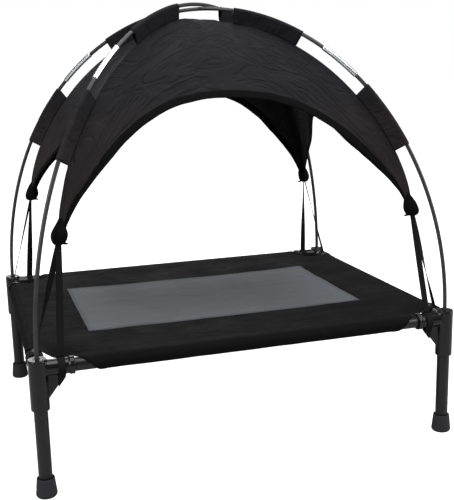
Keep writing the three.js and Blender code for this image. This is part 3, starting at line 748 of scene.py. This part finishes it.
def bed_height(x, y, lift=0.0):
    """Height of the stretched bed: it dips a little between the rails and has faint ripples."""
    across = max(0.0, 1 - (x / HALF_X) ** 2)
    along = max(0.0, 1 - (y / HALF_Y) ** 2)
    taut = across * along
    dip = COVER_SAG * taut ** 0.7
    shake = 1.4 * MM * ripple((x * 2.2, y * 7.0, 0), 5.0, 3.1) * min(1.0, 3 * taut)
    fine = 0.35 * MM * ripple((x, y, 0), 38.0, 8.4) * min(1.0, 3 * taut)
    return COVER_TOP - COVER_THICKNESS / 2 + lift - dip + shake + fine - corner_droop(x, y)


def cover_panel(bm):
    """The flat part, with its corners cut off and the window for the mesh left open."""
    place = lambda across, along: Vector(
        ((2 * across - 1) * HALF_X, (2 * along - 1) * HALF_Y, 0)
    )
    shaped_grid(bm, 146, 116, place, (2 * HALF_X, 2 * HALF_Y))
    for x, y in CORNERS.values():
        on_long = Vector((x * LONG_SLEEVE_HALF, y * HALF_Y, 0))
        on_short = Vector((x * HALF_X, y * SHORT_SLEEVE_HALF, 0))
        run = on_short - on_long
        outward = Vector((run.y, -run.x, 0)) * (x * y)
        if outward.dot(Vector((x, y, 0))) < 0:
            outward.negate()
        bmesh.ops.bisect_plane(
            bm, geom=bm.verts[:] + bm.edges[:] + bm.faces[:], plane_co=on_long,
            plane_no=outward, clear_outer=True,
        )
    inside = [
        f for f in bm.faces
        if abs(f.calc_center_median().x) < MESH_HALF[0] - TUCK
        and abs(f.calc_center_median().y) < MESH_HALF[1] - TUCK
    ]
    bmesh.ops.delete(bm, geom=inside, context="FACES")
    for vert in bm.verts:
        vert.co.z = bed_height(vert.co.x, vert.co.y)


ARC_SHARE = 0.72
WRAP_ANGLE = math.radians(215)


def sleeve_wrap(share):
    """The sleeve's path round a rail, from the top over the outside and back under to the seam."""
    radius = COVER_OUTER - COVER_THICKNESS / 2
    if share < ARC_SHARE:
        angle = math.pi / 2 - share / ARC_SHARE * WRAP_ANGLE
        return radius * math.cos(angle), radius * math.sin(angle)
    rest = (share - ARC_SHARE) / (1 - ARC_SHARE)
    angle = math.pi / 2 - WRAP_ANGLE
    start = Vector((radius * math.cos(angle), radius * math.sin(angle)))
    end = Vector((-SLEEVE_TUCK, radius - 1.6 * MM))
    spot = start.lerp(end, rest)
    return spot.x, spot.y


def cover_sleeve(bm, half_length, turn, reach):
    """A sleeve along +X on a rail that lies reach away from the middle towards -Y, then turned."""
    hem = 9 * MM

    def place(across, along):
        # The cloth's corner is cut on the slant, and the cut runs on round the rail.
        slant = min(across / ARC_SHARE, 0.85) * WRAP_ANGLE * COVER_OUTER
        x = (2 * along - 1) * (half_length - slant)
        out, height = sleeve_wrap(across)
        from_end = half_length - slant - abs(x)
        swell = 0.5 * MM * (1 if from_end < hem else 0)
        slack = 0.35 * MM * ripple((x, out, height), 26.0, 5.5) * math.sin(math.pi * across)
        scale = 1 + (swell + slack) / RAIL_RADIUS
        spot = Vector((x, -reach - out * scale, RAIL_HEIGHT + height * scale))
        return turn @ spot

    made = shaped_grid(bm, 26, 110, place, (0.09, 2 * half_length))
    return made


def stitch_row(bm, start, end, height, pitch=4.6 * MM):
    """A line of short raised stitches on the bed between two points."""
    run = end - start
    count = int(run.length / pitch)
    turn = Matrix.Rotation(math.atan2(run.y, run.x), 4, "Z")
    for i in range(count):
        spot = start.lerp(end, (i + 0.5) / count)
        spot.z = height(spot.x, spot.y)
        shape = Matrix.Translation(spot) @ turn @ Matrix.Diagonal((1.5 * MM, 0.36 * MM, 0.3 * MM, 1))
        bmesh.ops.create_icosphere(bm, subdivisions=1, radius=1.0, matrix=shape)


def build_cover():
    bm = bmesh.new()
    cover_panel(bm)
    for quarter, half_length, reach in (
        (0, LONG_SLEEVE_HALF, HALF_Y), (1, SHORT_SLEEVE_HALF, HALF_X),
        (2, LONG_SLEEVE_HALF, HALF_Y), (3, SHORT_SLEEVE_HALF, HALF_X),
    ):
        cover_sleeve(bm, half_length, Matrix.Rotation(quarter * math.pi / 2, 3, "Z"), reach)
    bmesh.ops.remove_doubles(bm, verts=bm.verts[:], dist=0.5 * MM)
    bmesh.ops.recalc_face_normals(bm, faces=bm.faces[:])
    cover = finish_piece(bm, "oxford_bed_cover", OXFORD)
    thicken(cover, COVER_THICKNESS)
    place_piece(cover, "bed_frame", "cover_fabric", "bed_cover")

    bm = bmesh.new()
    place = lambda across, along: Vector((
        (2 * across - 1) * MESH_HALF[0], (2 * along - 1) * MESH_HALF[1],
        bed_height((2 * across - 1) * MESH_HALF[0], (2 * along - 1) * MESH_HALF[1], 0.75 * MM),
    ))
    shaped_grid(bm, 120, 72, place, (2 * MESH_HALF[0], 2 * MESH_HALF[1]))
    panel = finish_piece(bm, "grey_mesh_panel", GREY_MESH)
    thicken(panel, 0.5 * MM)
    place_piece(panel, "bed_frame", "grey_mesh", "mesh_panel")

    bm = bmesh.new()
    on_bed = lambda x, y: bed_height(x, y, 0.75 * MM)
    seam = SLEEVE_TUCK
    for inset in (seam, seam + 3 * MM):
        for side in (-1, 1):
            y = side * (HALF_Y - inset)
            x = side * (HALF_X - inset)
            stitch_row(bm, Vector((-LONG_SLEEVE_HALF, y, 0)), Vector((LONG_SLEEVE_HALF, y, 0)), on_bed)
            stitch_row(bm, Vector((x, -SHORT_SLEEVE_HALF, 0)), Vector((x, SHORT_SLEEVE_HALF, 0)), on_bed)
    for margin in (3 * MM, 6.5 * MM):
        x, y = MESH_HALF[0] - margin, MESH_HALF[1] - margin
        on_mesh = lambda px, py: bed_height(px, py, 1.15 * MM)
        ring = [Vector((-x, -y, 0)), Vector((x, -y, 0)), Vector((x, y, 0)), Vector((-x, y, 0))]
        for i in range(4):
            stitch_row(bm, ring[i - 1], ring[i], on_mesh)
    for x, y in CORNERS.values():
        for inset in (7 * MM, 10 * MM):
            pull = Vector((-x, -y, 0)).normalized() * inset
            start = Vector((x * LONG_SLEEVE_HALF, y * HALF_Y, 0)) + pull
            end = Vector((x * HALF_X, y * SHORT_SLEEVE_HALF, 0)) + pull
            stitch_row(bm, start, end, on_bed)
    stitches = finish_piece(bm, "bed_stitching", THREAD)
    place_piece(stitches, "bed_frame", "cover_fabric")


# ---- Poles ----
class Bow:
    """Half an ellipse over a diagonal, measured along its length from its first corner."""

    def __init__(self, corner, rise):
        x, y = CORNERS[corner]
        self.outward = Vector((x * HALF_X, y * HALF_Y, 0)).normalized()
        self.sideways = UP.cross(self.outward)
        self.rise = rise
        count = 720
        self.lengths = [0.0]
        for i in range(1, count + 1):
            step = self.at_angle(math.pi * i / count) - self.at_angle(math.pi * (i - 1) / count)
            self.lengths.append(self.lengths[-1] + step.length)
        self.length = self.lengths[-1]
        self.top = self.length / 2

    def at_angle(self, angle):
        out = self.outward * (CORNER_RADIUS * math.cos(angle))
        return out + UP * (CAP_TOP + self.rise * math.sin(angle))

    def angle(self, along):
        low_index, high_index = 0, len(self.lengths) - 1
        while high_index - low_index > 1:
            half = (low_index + high_index) // 2
            if self.lengths[half] < along:
                low_index = half
            else:
                high_index = half
        start, end = self.lengths[low_index], self.lengths[high_index]
        return math.pi * (low_index + (along - start) / (end - start)) / (len(self.lengths) - 1)

    def at(self, along):
        if along < 0:
            return self.at_angle(0) + UP * along
        if along > self.length:
            return self.at_angle(math.pi) + UP * (self.length - along)
        return self.at_angle(self.angle(along))

    def frame(self, along):
        """Axes at a point: x out of the arch, y sideways, z along the pole."""
        step = 0.5 * MM
        tangent = (self.at(along + step) - self.at(along - step)).normalized()
        outward = self.sideways.cross(tangent)
        axes = Matrix((outward, self.sideways, tangent)).transposed().to_4x4()
        return Matrix.Translation(self.at(along)) @ axes


LOWER_RISE = high("lower_pole_rod_middle").z - ROD_RADIUS - CAP_TOP
UPPER_RISE = high("upper_pole_rod_middle").z - ROD_RADIUS - CAP_TOP
BOWS = {
    "upper": (Bow("front_left", UPPER_RISE), "front_left", "back_right"),
    "lower": (Bow("back_left", LOWER_RISE), "back_left", "front_right"),
}


def round_run(bm, bow, start, end, radius, sides=18, steps=None):
    """A round bar or tube along a bow, closed at its ends. radius may depend on the share."""
    steps = steps or max(6, int((end - start) / (9 * MM)))

    def place(across, along):
        turn = 2 * math.pi * across
        size = radius(along) if callable(radius) else radius
        spot = Vector((size * math.cos(turn), size * math.sin(turn), 0))
        return bow.frame(start + along * (end - start)) @ spot

    made = shaped_grid(bm, sides, steps, place, (2 * math.pi * ROD_RADIUS, end - start))
    bmesh.ops.remove_doubles(bm, verts=made, dist=1e-6)
    bmesh.ops.holes_fill(bm, edges=[e for e in bm.edges if e.is_boundary], sides=0)
    bmesh.ops.recalc_face_normals(bm, faces=bm.faces[:])


def soft_end(length, radius, cut):
    """A radius that shrinks a little at both ends, so that the edges catch light."""
    def size(share):
        from_end = min(share, 1 - share) * length
        return radius - cut * max(0.0, 1 - from_end / cut) ** 2
    return size


def build_poles():
    for name, (bow, first, last) in BOWS.items():
        joint, other = bow.top - FERRULE_FROM_TOP, bow.top + FERRULE_FROM_TOP
        gap = 0.3 * MM
        runs = [
            (first, POLE_BOTTOM, joint - gap), ("middle", joint + gap, other - gap),
            (last, other + gap, bow.length - POLE_BOTTOM),
        ]
        for place, start, end in runs:
            bm = bmesh.new()
            round_run(bm, bow, start, end, ROD_RADIUS)
            piece = finish_piece(bm, f"{name}_rod_{place}", FIBREGLASS)
            place_piece(piece, "canopy", "fibreglass_rod", f"{name}_pole_rod_{place}")
        for corner, centre in ((first, joint), (last, other)):
            bm = bmesh.new()
            half = FERRULE_LENGTH / 2
            size = soft_end(FERRULE_LENGTH, FERRULE_RADIUS, 0.5 * MM)
            round_run(bm, bow, centre - half, centre + half, size, sides=32, steps=80)
            piece = finish_piece(bm, f"metal_ferrule_{corner}", FERRULE)
            place_piece(piece, "canopy", "bright_ferrule", f"ferrule_{corner}")
        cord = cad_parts[f"{name}_pole_shock_cord"]
        for slot in cord.material_slots:
            slot.material = CORD_COVER


# ---- Canopy cloth ----
RIDGE_RADIUS = CORNER_RADIUS - CLOTH_INSET
POLE_SPREAD = UPPER_RISE - LOWER_RISE
RIDGE_RISE = LOWER_RISE + POLE_SPREAD / 2 - CLOTH_INSET
CLOTH_TOP = CAP_TOP + RIDGE_RISE
TIP_RADIUS = CORNER_RADIUS - KNOT_INSET
TIP_HEIGHT = KNOT_MIDDLE + 15 * MM
SPREAD_SPAN = 60 * MM
RELEASE_LEVEL = 0.2
LOWER_BOW = BOWS["lower"][0]
RELEASE = LOWER_BOW.at(LOWER_BOW.top - LOW_SLEEVE[1])
RELEASE_ANGLE = math.asin((RELEASE.z - CAP_TOP) / LOWER_RISE)


def ridge_point(corner, level):
    """A point of the cloth's ridge below a pole; level 1 is the top, 0 the tip of the arm."""
    x, y = CORNERS[corner]
    share = (max(level, RELEASE_LEVEL) - RELEASE_LEVEL) / (1 - RELEASE_LEVEL)
    turn = RELEASE_ANGLE + share * (math.pi / 2 - RELEASE_ANGLE)
    radius = RIDGE_RADIUS * math.cos(turn)
    parted = min(1.0, radius / SPREAD_SPAN) * POLE_SPREAD / 2
    rise = RIDGE_RISE + (parted if x == y else -parted)
    height = CAP_TOP + rise * math.sin(turn)
    if level < RELEASE_LEVEL:
        share = level / RELEASE_LEVEL
        radius = TIP_RADIUS + share * (radius - TIP_RADIUS)
        height = TIP_HEIGHT + share * (height - TIP_HEIGHT)
    scale = radius / CORNER_RADIUS
    return Vector((x * HALF_X * scale, y * HALF_Y * scale, height))


def level_at(height):
    start, end = 0.0, 1.0
    for _ in range(30):
        half = (start + end) / 2
        if ridge_point("back_left", half).z < height:
            start = half
        else:
            end = half
    return start


def side_sizes(side):
    return LONG_SIDE if side[0] in ("front", "back") else SHORT_SIDE


def cloth_point(side, across, level):
    """A point of the smooth cloth between two ridges; across runs from -1 to 1."""
    start, end = ridge_point(side[1], level), ridge_point(side[2], level)
    chord = start.lerp(end, (across + 1) / 2)
    centre = (start + end) / 2
    centre.z = 0
    inward = -centre.normalized() if centre.length > MM else Vector((0, 0, 0))
    turn = 0.25 + level * (math.pi / 2 - 0.25)
    reach = math.hypot(start.x, start.y) / RIDGE_RADIUS
    sag = side_sizes(side)["sag"] * reach * (1 - across * across)
    return chord + inward * (sag * math.cos(turn)) - UP * (sag * math.sin(turn))


def arch_edge(side, along):
    """Share across and level of the arch's edge; along runs from -1 over the crown to 1."""
    t = min(1.0, abs(along))
    sizes = side_sizes(side)
    weights = ((1 - t) ** 3, 3 * t * (1 - t) ** 2, 3 * t * t * (1 - t), t ** 3)
    spot = sum((w * Vector(p) for w, p in zip(weights, sizes["arch"])), Vector((0, 0)))
    height = TIP_HEIGHT + spot.y * (CLOTH_TOP - sizes["drop"] - TIP_HEIGHT)
    return math.copysign(spot.x, along), level_at(height)


def arch_frame(side, along):
    """The edge's place, its direction into the cloth and the cloth's outward normal there."""
    step = 0.01
    point = lambda value: cloth_point(side, *arch_edge(side, max(-1.0, min(1.0, value))))
    across, level = arch_edge(side, along)
    here = cloth_point(side, across, level)
    tangent = (point(along + step) - point(along - step)).normalized()
    upwards = cloth_point(side, across, min(1.0, level + step)) - here
    normal = tangent.cross(upwards).normalized()
    return here, normal.cross(tangent).normalized(), normal


CLOTH_COLUMNS = 56
CLOTH_ROWS = 44
ARM_COLUMNS = 6
GATHER_HEIGHT = 105 * MM    # above the arm's tip, where the cloth starts to draw together
GATHER_DROP = 19 * MM
GATHER_POWER = 1.7
BINDING_LAP = 4 * MM        # how far the cloth reaches into its binding


def gathered(point):
    """Draws the end of an arm together into its knot."""
    share = min(1.0, max(0.0, (ARM_TIP + GATHER_HEIGHT - point.z) / GATHER_HEIGHT))
    if share == 0:
        return point
    smooth = share ** GATHER_POWER
    scale = TIP_RADIUS / CORNER_RADIUS
    knot = Vector((
        math.copysign(HALF_X * scale, point.x), math.copysign(HALF_Y * scale, point.y), point.z
    ))
    return point.lerp(knot, 0.8 * smooth) - UP * (GATHER_DROP * smooth * share)


def cloth_columns(side):
    """Every column's top place, edge place and direction of the binding."""
    columns = []
    half = CLOTH_COLUMNS // 2
    for column in range(CLOTH_COLUMNS + 1):
        place = (column - half) / half
        along = max(-1.0, min(1.0, place * half / (half - ARM_COLUMNS)))
        across, level = arch_edge(side, along)
        tip_share = max(0.0, (abs(place) * half - (half - ARM_COLUMNS)) / ARM_COLUMNS)
        across = math.copysign(abs(across) + tip_share * (1 - abs(across)), place)
        if tip_share > 0:
            level = 0.0
        inward = arch_frame(side, along)[1] * (1 - tip_share)
        length = (cloth_point(side, place, 1) - cloth_point(side, across, level)).length
        columns.append((place, across, level, inward, length))
    return columns


def cloth_relief(point, across, level):
    """How far the cloth stands off its smooth shape: gathers in the arms, soft folds above."""
    arm = max(0.0, 1 - level / 0.42)
    gathers = math.sin(abs(across) * 46 + 5 * ripple(point, 6.0, 1.2)) * arm ** 1.3
    stretch = ripple((point.x * 1.0, point.y * 1.0, point.z * 2.2), 9.0, 4.0)
    sharp = (1 - abs(ripple(point, 13.0, 9.2))) ** 6
    return 2.6 * MM * gathers + 3.0 * MM * stretch * (1 - abs(across) ** 4) + 3.2 * MM * sharp


def build_cloth():
    bm = bmesh.new()
    for side in SIDES:
        columns = cloth_columns(side)

        def place(across, along, side=side, columns=columns):
            top, edge_across, edge_level, inward, length = columns[round(across * CLOTH_COLUMNS)]
            spot_across = top + along * (edge_across - top)
            level = 1 + along * (edge_level - 1)
            point = cloth_point(side, spot_across, level)
            point += inward * ((BINDING_WIDTH - BINDING_LAP) * along ** 3)
            down = cloth_point(side, spot_across, max(0.0, level - 0.01)) - point
            out = Vector((point.x, point.y, 0.12)).normalized()
            normal = (out - down.normalized() * out.dot(down.normalized())).normalized()
            calm = min(1.0, (1 - abs(spot_across)) * 12) * min(1.0, along * 8)
            calm *= min(1.0, max(0.0, (1 - along) * length / (30 * MM)))
            return gathered(point + normal * cloth_relief(point, spot_across, level) * calm)

        shaped_grid(bm, CLOTH_COLUMNS, CLOTH_ROWS, place, (0.62, 0.5))
    bmesh.ops.remove_doubles(bm, verts=bm.verts[:], dist=0.05 * MM)
    bmesh.ops.recalc_face_normals(bm, faces=bm.faces[:])
    cloth = finish_piece(bm, "canopy_sheet", CANOPY)
    thicken(cloth, CLOTH_THICKNESS)
    place_piece(
        cloth, "canopy", "canopy_fabric", "canopy_panel_front_right", "canopy_panel_back_left"
    )
    return cloth


# ---- Edge bindings ----
def round_box(turn, half_width, half_thickness):
    """A point of a flat oval outline, for a folded tape."""
    c, s = math.cos(turn), math.sin(turn)
    power = 0.45
    return (
        half_width * math.copysign(abs(c) ** power, c),
        half_thickness * math.copysign(abs(s) ** power, s),
    )


def build_bindings():
    pieces = []
    for side in SIDES:
        bm = bmesh.new()

        def place(across, along, side=side):
            here, inward, normal = arch_frame(side, 2 * along - 1)
            wide, thick = round_box(2 * math.pi * across, BINDING_WIDTH / 2, BINDING_THICKNESS / 2)
            pucker = 0.5 * MM * ripple(here, 55.0, 2.0) + 0.8 * MM * ripple(here, 21.0, 6.0)
            base = here + inward * (BINDING_WIDTH / 2 + wide + pucker)
            return gathered(base + normal * (thick + 0.5 * pucker))

        shaped_grid(bm, 20, 200, place, (2 * BINDING_WIDTH, 0.9))
        weld(bm, 0.02 * MM)
        bmesh.ops.holes_fill(bm, edges=[e for e in bm.edges if e.is_boundary], sides=0)
        piece = finish_piece(bm, f"bound_edge_{side[0]}", BINDING)
        place_piece(piece, "canopy", "edge_binding", f"arch_binding_{side[0]}")
        pieces.append(piece)
    return pieces


# ---- Pole sleeves ----
SLEEVE_FACE = 0.3           # share of the band's width on each face


def sleeve_outline(share):
    """The band's path in a section: up one face, round the pole and down the other face."""
    foot = Vector((-CLOTH_INSET + 0.4 * MM, 0.7 * MM))
    face = SLEEVE_FACE
    lean = math.radians(105)
    if share < face:
        start = Vector((POLE_SLEEVE_RADIUS * math.cos(lean), POLE_SLEEVE_RADIUS * math.sin(lean)))
        return foot.lerp(start, share / face)
    if share > 1 - face:
        spot = sleeve_outline(1 - share)
        return Vector((spot.x, -spot.y))
    turn = lean - 2 * lean * (share - face) / (1 - 2 * face)
    return Vector((POLE_SLEEVE_RADIUS * math.cos(turn), POLE_SLEEVE_RADIUS * math.sin(turn)))


def build_sleeves():
    pieces = []
    for bow, first, last in BOWS.values():
        for level, (near, far) in (("high", HIGH_SLEEVE), ("low", LOW_SLEEVE)):
            for corner, sign in ((first, -1), (last, 1)):
                start, end = sorted((bow.top + sign * near, bow.top + sign * far))
                bm = bmesh.new()

                def place(across, along, bow=bow, start=start, end=end):
                    spot = sleeve_outline(across)
                    at = start + along * (end - start)
                    world = bow.frame(at) @ Vector((spot.x, spot.y, 0))
                    from_seam = min(across, 1 - across) / SLEEVE_FACE
                    slack = math.sin(math.pi * from_seam) if from_seam < 1 else 1.0
                    push = 1.3 * MM * slack * ripple(world, 34.0, 7.0)
                    side = 1 if across < 0.5 else -1
                    return world + bow.sideways * (side * push)

                shaped_grid(bm, 44, 46, place, (0.062, end - start))
                piece = finish_piece(bm, f"sewn_sleeve_{level}_{corner}", CANOPY)
                thicken(piece, 0.6 * MM)
                place_piece(piece, "canopy", "canopy_fabric", f"pole_sleeve_{level}_{corner}")
                pieces.append(piece)
    return pieces


# ---- Knots ----
def knot_place(corner):
    x, y = CORNERS[corner]
    scale = TIP_RADIUS / CORNER_RADIUS
    return Vector((x * HALF_X * scale, y * HALF_Y * scale, KNOT_MIDDLE))


POUCH_BOTTOM = KNOT_MIDDLE - 12 * MM
POUCH_HEIGHT = 50 * MM
POUCH_RADIUS = 13 * MM


def pouch_radius(share):
    """Width of a gathered tip: fullest a third of the way up, then it runs out along the ridge."""
    fullest = 0.3
    rise, fall = 0.6, 1.4
    peak = fullest ** rise * (1 - fullest) ** fall
    return 3 * MM * (1 - share) + (POUCH_RADIUS - 2 * MM) * share ** rise * (1 - share) ** fall / peak


def build_knots():
    pieces = []
    for corner, (x, y) in CORNERS.items():
        outward = Vector((x * HALF_X, y * HALF_Y, 0)).normalized()
        sideways = UP.cross(outward)
        foot = knot_place(corner)
        foot.z = POUCH_BOTTOM
        top = ridge_point(corner, level_at(POUCH_BOTTOM + POUCH_HEIGHT)) - outward * 2 * MM
        bm = bmesh.new()

        def place(across, along):
            turn = 2 * math.pi * across
            pleat = 1 + (0.09 * math.sin(8 * turn + 4 * along) + 0.05 * math.sin(13 * turn)) * (1 - along)
            radius = pouch_radius(along) * pleat
            centre = foot.lerp(top, along)
            lump = 1 + 0.12 * ripple(centre + outward * math.cos(turn) * 0.01, 60.0, 3.0)
            return (
                centre + outward * (radius * lump * math.cos(turn))
                + sideways * (0.92 * radius * lump * math.sin(turn))
            )

        shaped_grid(bm, 64, 40, place, (0.08, POUCH_HEIGHT))
        weld(bm, 0.02 * MM)
        bmesh.ops.holes_fill(bm, edges=[e for e in bm.edges if e.is_boundary], sides=0)
        tail = bmesh.ops.create_cone(
            bm, cap_ends=True, segments=12, radius1=3.2 * MM, radius2=2.2 * MM, depth=12 * MM
        )["verts"]
        aim = (Vector((-x, 0, 0)) * 0.9 - UP * 0.15).normalized()
        turn = UP.rotation_difference(aim).to_matrix().to_4x4()
        bmesh.ops.transform(
            bm, matrix=Matrix.Translation(foot + UP * 4 * MM + aim * 9 * MM) @ turn
            @ Matrix.Diagonal((0.7, 1, 1, 1)), verts=tail,
        )
        bmesh.ops.recalc_face_normals(bm, faces=bm.faces[:])
        piece = finish_piece(bm, f"gathered_knot_{corner}", BINDING)
        place_piece(piece, "canopy", "edge_binding", f"arm_knot_{corner}")
        pieces.append(piece)
    return pieces


# ---- Elastic straps ----
LOOP_INNER = STUB_RADIUS + 0.5 * MM
LOOP_TIP = GUSSET_THICKNESS / 2 + 0.6 * MM


def loop_drop(from_post):
    """How far a loop hangs below the stub's axis, where it wraps the slanted gusset."""
    depth = GUSSET_DROP * (POST_RADIUS + GUSSET_REACH - from_post) / GUSSET_REACH
    return STUB_RADIUS + max(0.0, depth) + 0.8 * MM - 0.3 * LOOP_TIP


def loop_point(share, drop):
    """The strap's middle line round the stub and its gusset; share 0 and 1 are at the top."""
    radius, tip = LOOP_INNER + STRAP_THICKNESS / 2, LOOP_TIP + STRAP_THICKNESS / 2
    lean = math.acos((radius - tip) / drop)
    side = 1 if share < 0.5 else -1
    half = 2 * min(share, 1 - share)
    end_angle = -math.pi / 2 + lean
    start = Vector((radius * math.cos(end_angle), radius * math.sin(end_angle)))
    end = Vector((tip * math.cos(end_angle), tip * math.sin(end_angle) - drop))
    if half < 0.5:
        angle = math.pi / 2 + (end_angle - math.pi / 2) * half / 0.5
        spot = Vector((radius * math.cos(angle), radius * math.sin(angle)))
    elif half < 0.85:
        spot = start.lerp(end, (half - 0.5) / 0.35)
    else:
        angle = end_angle + (-math.pi / 2 - end_angle) * (half - 0.85) / 0.15
        spot = Vector((tip * math.cos(angle), tip * math.sin(angle) - drop))
    return Vector((side * spot.x, spot.y))


BACK_KNOT_TURN = math.radians(60)


def build_straps():
    for corner, (x, y) in CORNERS.items():
        # Both bands leave a knot flat on each other, and each turns to lie along its own stub.
        knot_turn = 0.0 if y < 0 else BACK_KNOT_TURN
        knot_axis = Vector((math.cos(knot_turn), math.sin(knot_turn), 0))
        for rail in ("long", "short"):
            along_x = rail == "long"
            width_axis = Vector((1, 0, 0)) if along_x else Vector((0, 1, 0))
            across_axis = Vector((0, 1, 0)) if along_x else Vector((-1, 0, 0))
            inward = Vector((-x, 0, 0)) if along_x else Vector((0, -y, 0))
            stub = Vector((x * HALF_X, y * HALF_Y, RAIL_HEIGHT)) + inward * STRAP_MIDDLE
            foot = stub + UP * (LOOP_INNER + STRAP_THICKNESS / 2)
            head = knot_place(corner) - UP * 9 * MM
            apart = UP.cross(knot_axis)
            nearer = 1 if apart.dot(foot - head) > 0 else -1
            head += apart * (nearer * STRAP_THICKNESS)
            twist = knot_turn if along_x else math.pi / 2 - knot_turn
            bm = bmesh.new()

            def band(across, along):
                wide, thick = round_box(2 * math.pi * across, STRAP_WIDTH / 2, STRAP_THICKNESS / 2)
                narrow = 1 - 0.22 * along ** 3
                smooth = along * along * (3 - 2 * along)
                turn = Matrix.Rotation((-1 if along_x else 1) * -twist * smooth, 3, "Z")
                axis = turn @ width_axis
                normal = (head - foot).cross(axis).normalized()
                return foot.lerp(head, along) + axis * (wide * narrow) + normal * thick

            def loop(across, along):
                wide, thick = round_box(2 * math.pi * across, STRAP_WIDTH / 2, STRAP_THICKNESS / 2)
                drop = loop_drop(STRAP_MIDDLE + wide * width_axis.dot(inward))
                spot = loop_point(along, drop)
                step = 0.004
                ahead = loop_point((along + step) % 1, drop)
                behind = loop_point((along - step) % 1, drop)
                run = (ahead - behind).normalized()
                flat = spot + Vector((-run.y, run.x)) * thick
                return stub + across_axis * flat.x + UP * flat.y + width_axis * wide

            shaped_grid(bm, 16, 48, band, (2 * STRAP_WIDTH, (head - foot).length))
            shaped_grid(bm, 16, 72, loop, (2 * STRAP_WIDTH, 0.12))
            weld(bm, 0.02 * MM)
            bmesh.ops.holes_fill(bm, edges=[e for e in bm.edges if e.is_boundary], sides=0)
            piece = finish_piece(bm, f"elastic_strap_{rail}_{corner}", ELASTIC)
            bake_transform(piece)
            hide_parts(f"strap_{rail}_rail_{corner}")


# ---- Floor, light and camera ----
def build_stage():
    bm = bmesh.new()
    bmesh.ops.create_grid(bm, x_segments=1, y_segments=1, size=30.0)
    material, tree, bsdf, _ = base_material("pale_floor", Roughness=0.9)
    bsdf.inputs["Base Color"].default_value = (0.45, 0.45, 0.45, 1)
    bsdf.inputs["Emission Color"].default_value = (1, 1, 1, 1)
    seen_by = tree.nodes.new("ShaderNodeLightPath")
    tree.links.new(seen_by.outputs["Is Camera Ray"], bsdf.inputs["Emission Strength"])
    floor = finish_piece(bm, "floor", material, smooth=False)

    world = bpy.data.worlds.new("studio")
    world.use_nodes = True
    tree = world.node_tree
    sky = tree.nodes["Background"]
    seen = tree.nodes.new("ShaderNodeBackground")
    sky.inputs["Strength"].default_value = 0.14
    seen.inputs["Strength"].default_value = 1.0
    for shade in (sky, seen):
        shade.inputs["Color"].default_value = (1, 1, 1, 1)
    path = tree.nodes.new("ShaderNodeLightPath")
    either = tree.nodes.new("ShaderNodeMixShader")
    tree.links.new(path.outputs["Is Camera Ray"], either.inputs[0])
    tree.links.new(sky.outputs[0], either.inputs[1])
    tree.links.new(seen.outputs[0], either.inputs[2])
    tree.links.new(either.outputs[0], tree.nodes["World Output"].inputs["Surface"])
    bpy.context.scene.world = world
    bpy.context.scene.view_settings.view_transform = "Standard"

    for name, spot, size, power in (
        ("top", (0.1, -0.3, 3.0), 2.8, 95.0),
        ("left", (-2.4, -1.3, 1.5), 1.3, 38.0),
        ("right", (2.5, -1.2, 1.3), 1.3, 38.0),
        ("back", (0.4, 2.8, 1.8), 1.8, 30.0),
    ):
        light = bpy.data.lights.new(name, "AREA")
        light.size = size
        light.energy = power
        lamp = bpy.data.objects.new(name, light)
        lamp.location = spot
        aim = Vector((0, 0, 0.35)) - Vector(spot)
        lamp.rotation_euler = aim.to_track_quat("-Z", "Y").to_euler()
        bpy.context.scene.collection.objects.link(lamp)


def build_camera():
    camera = bpy.data.cameras.new("camera")
    camera.sensor_width = 36.0
    camera.lens = 60.9
    camera.shift_x = 0.007
    camera.shift_y = 0.0025
    camera.clip_start = 0.05
    camera.clip_end = 100.0
    eye = bpy.data.objects.new("camera", camera)
    eye.location = (-0.4522, -1.5861, 0.6796)
    eye.rotation_euler = [math.radians(angle) for angle in (77.546, 1.365, -17.398)]
    bpy.context.scene.collection.objects.link(eye)
    bpy.context.scene.camera = eye


build_camera()
build_stage()
build_connectors()
build_caps()
build_legs()
build_rails()
build_cover()
build_poles()
canopy = build_cloth()
trim = build_bindings() + build_sleeves() + build_knots()
build_straps()
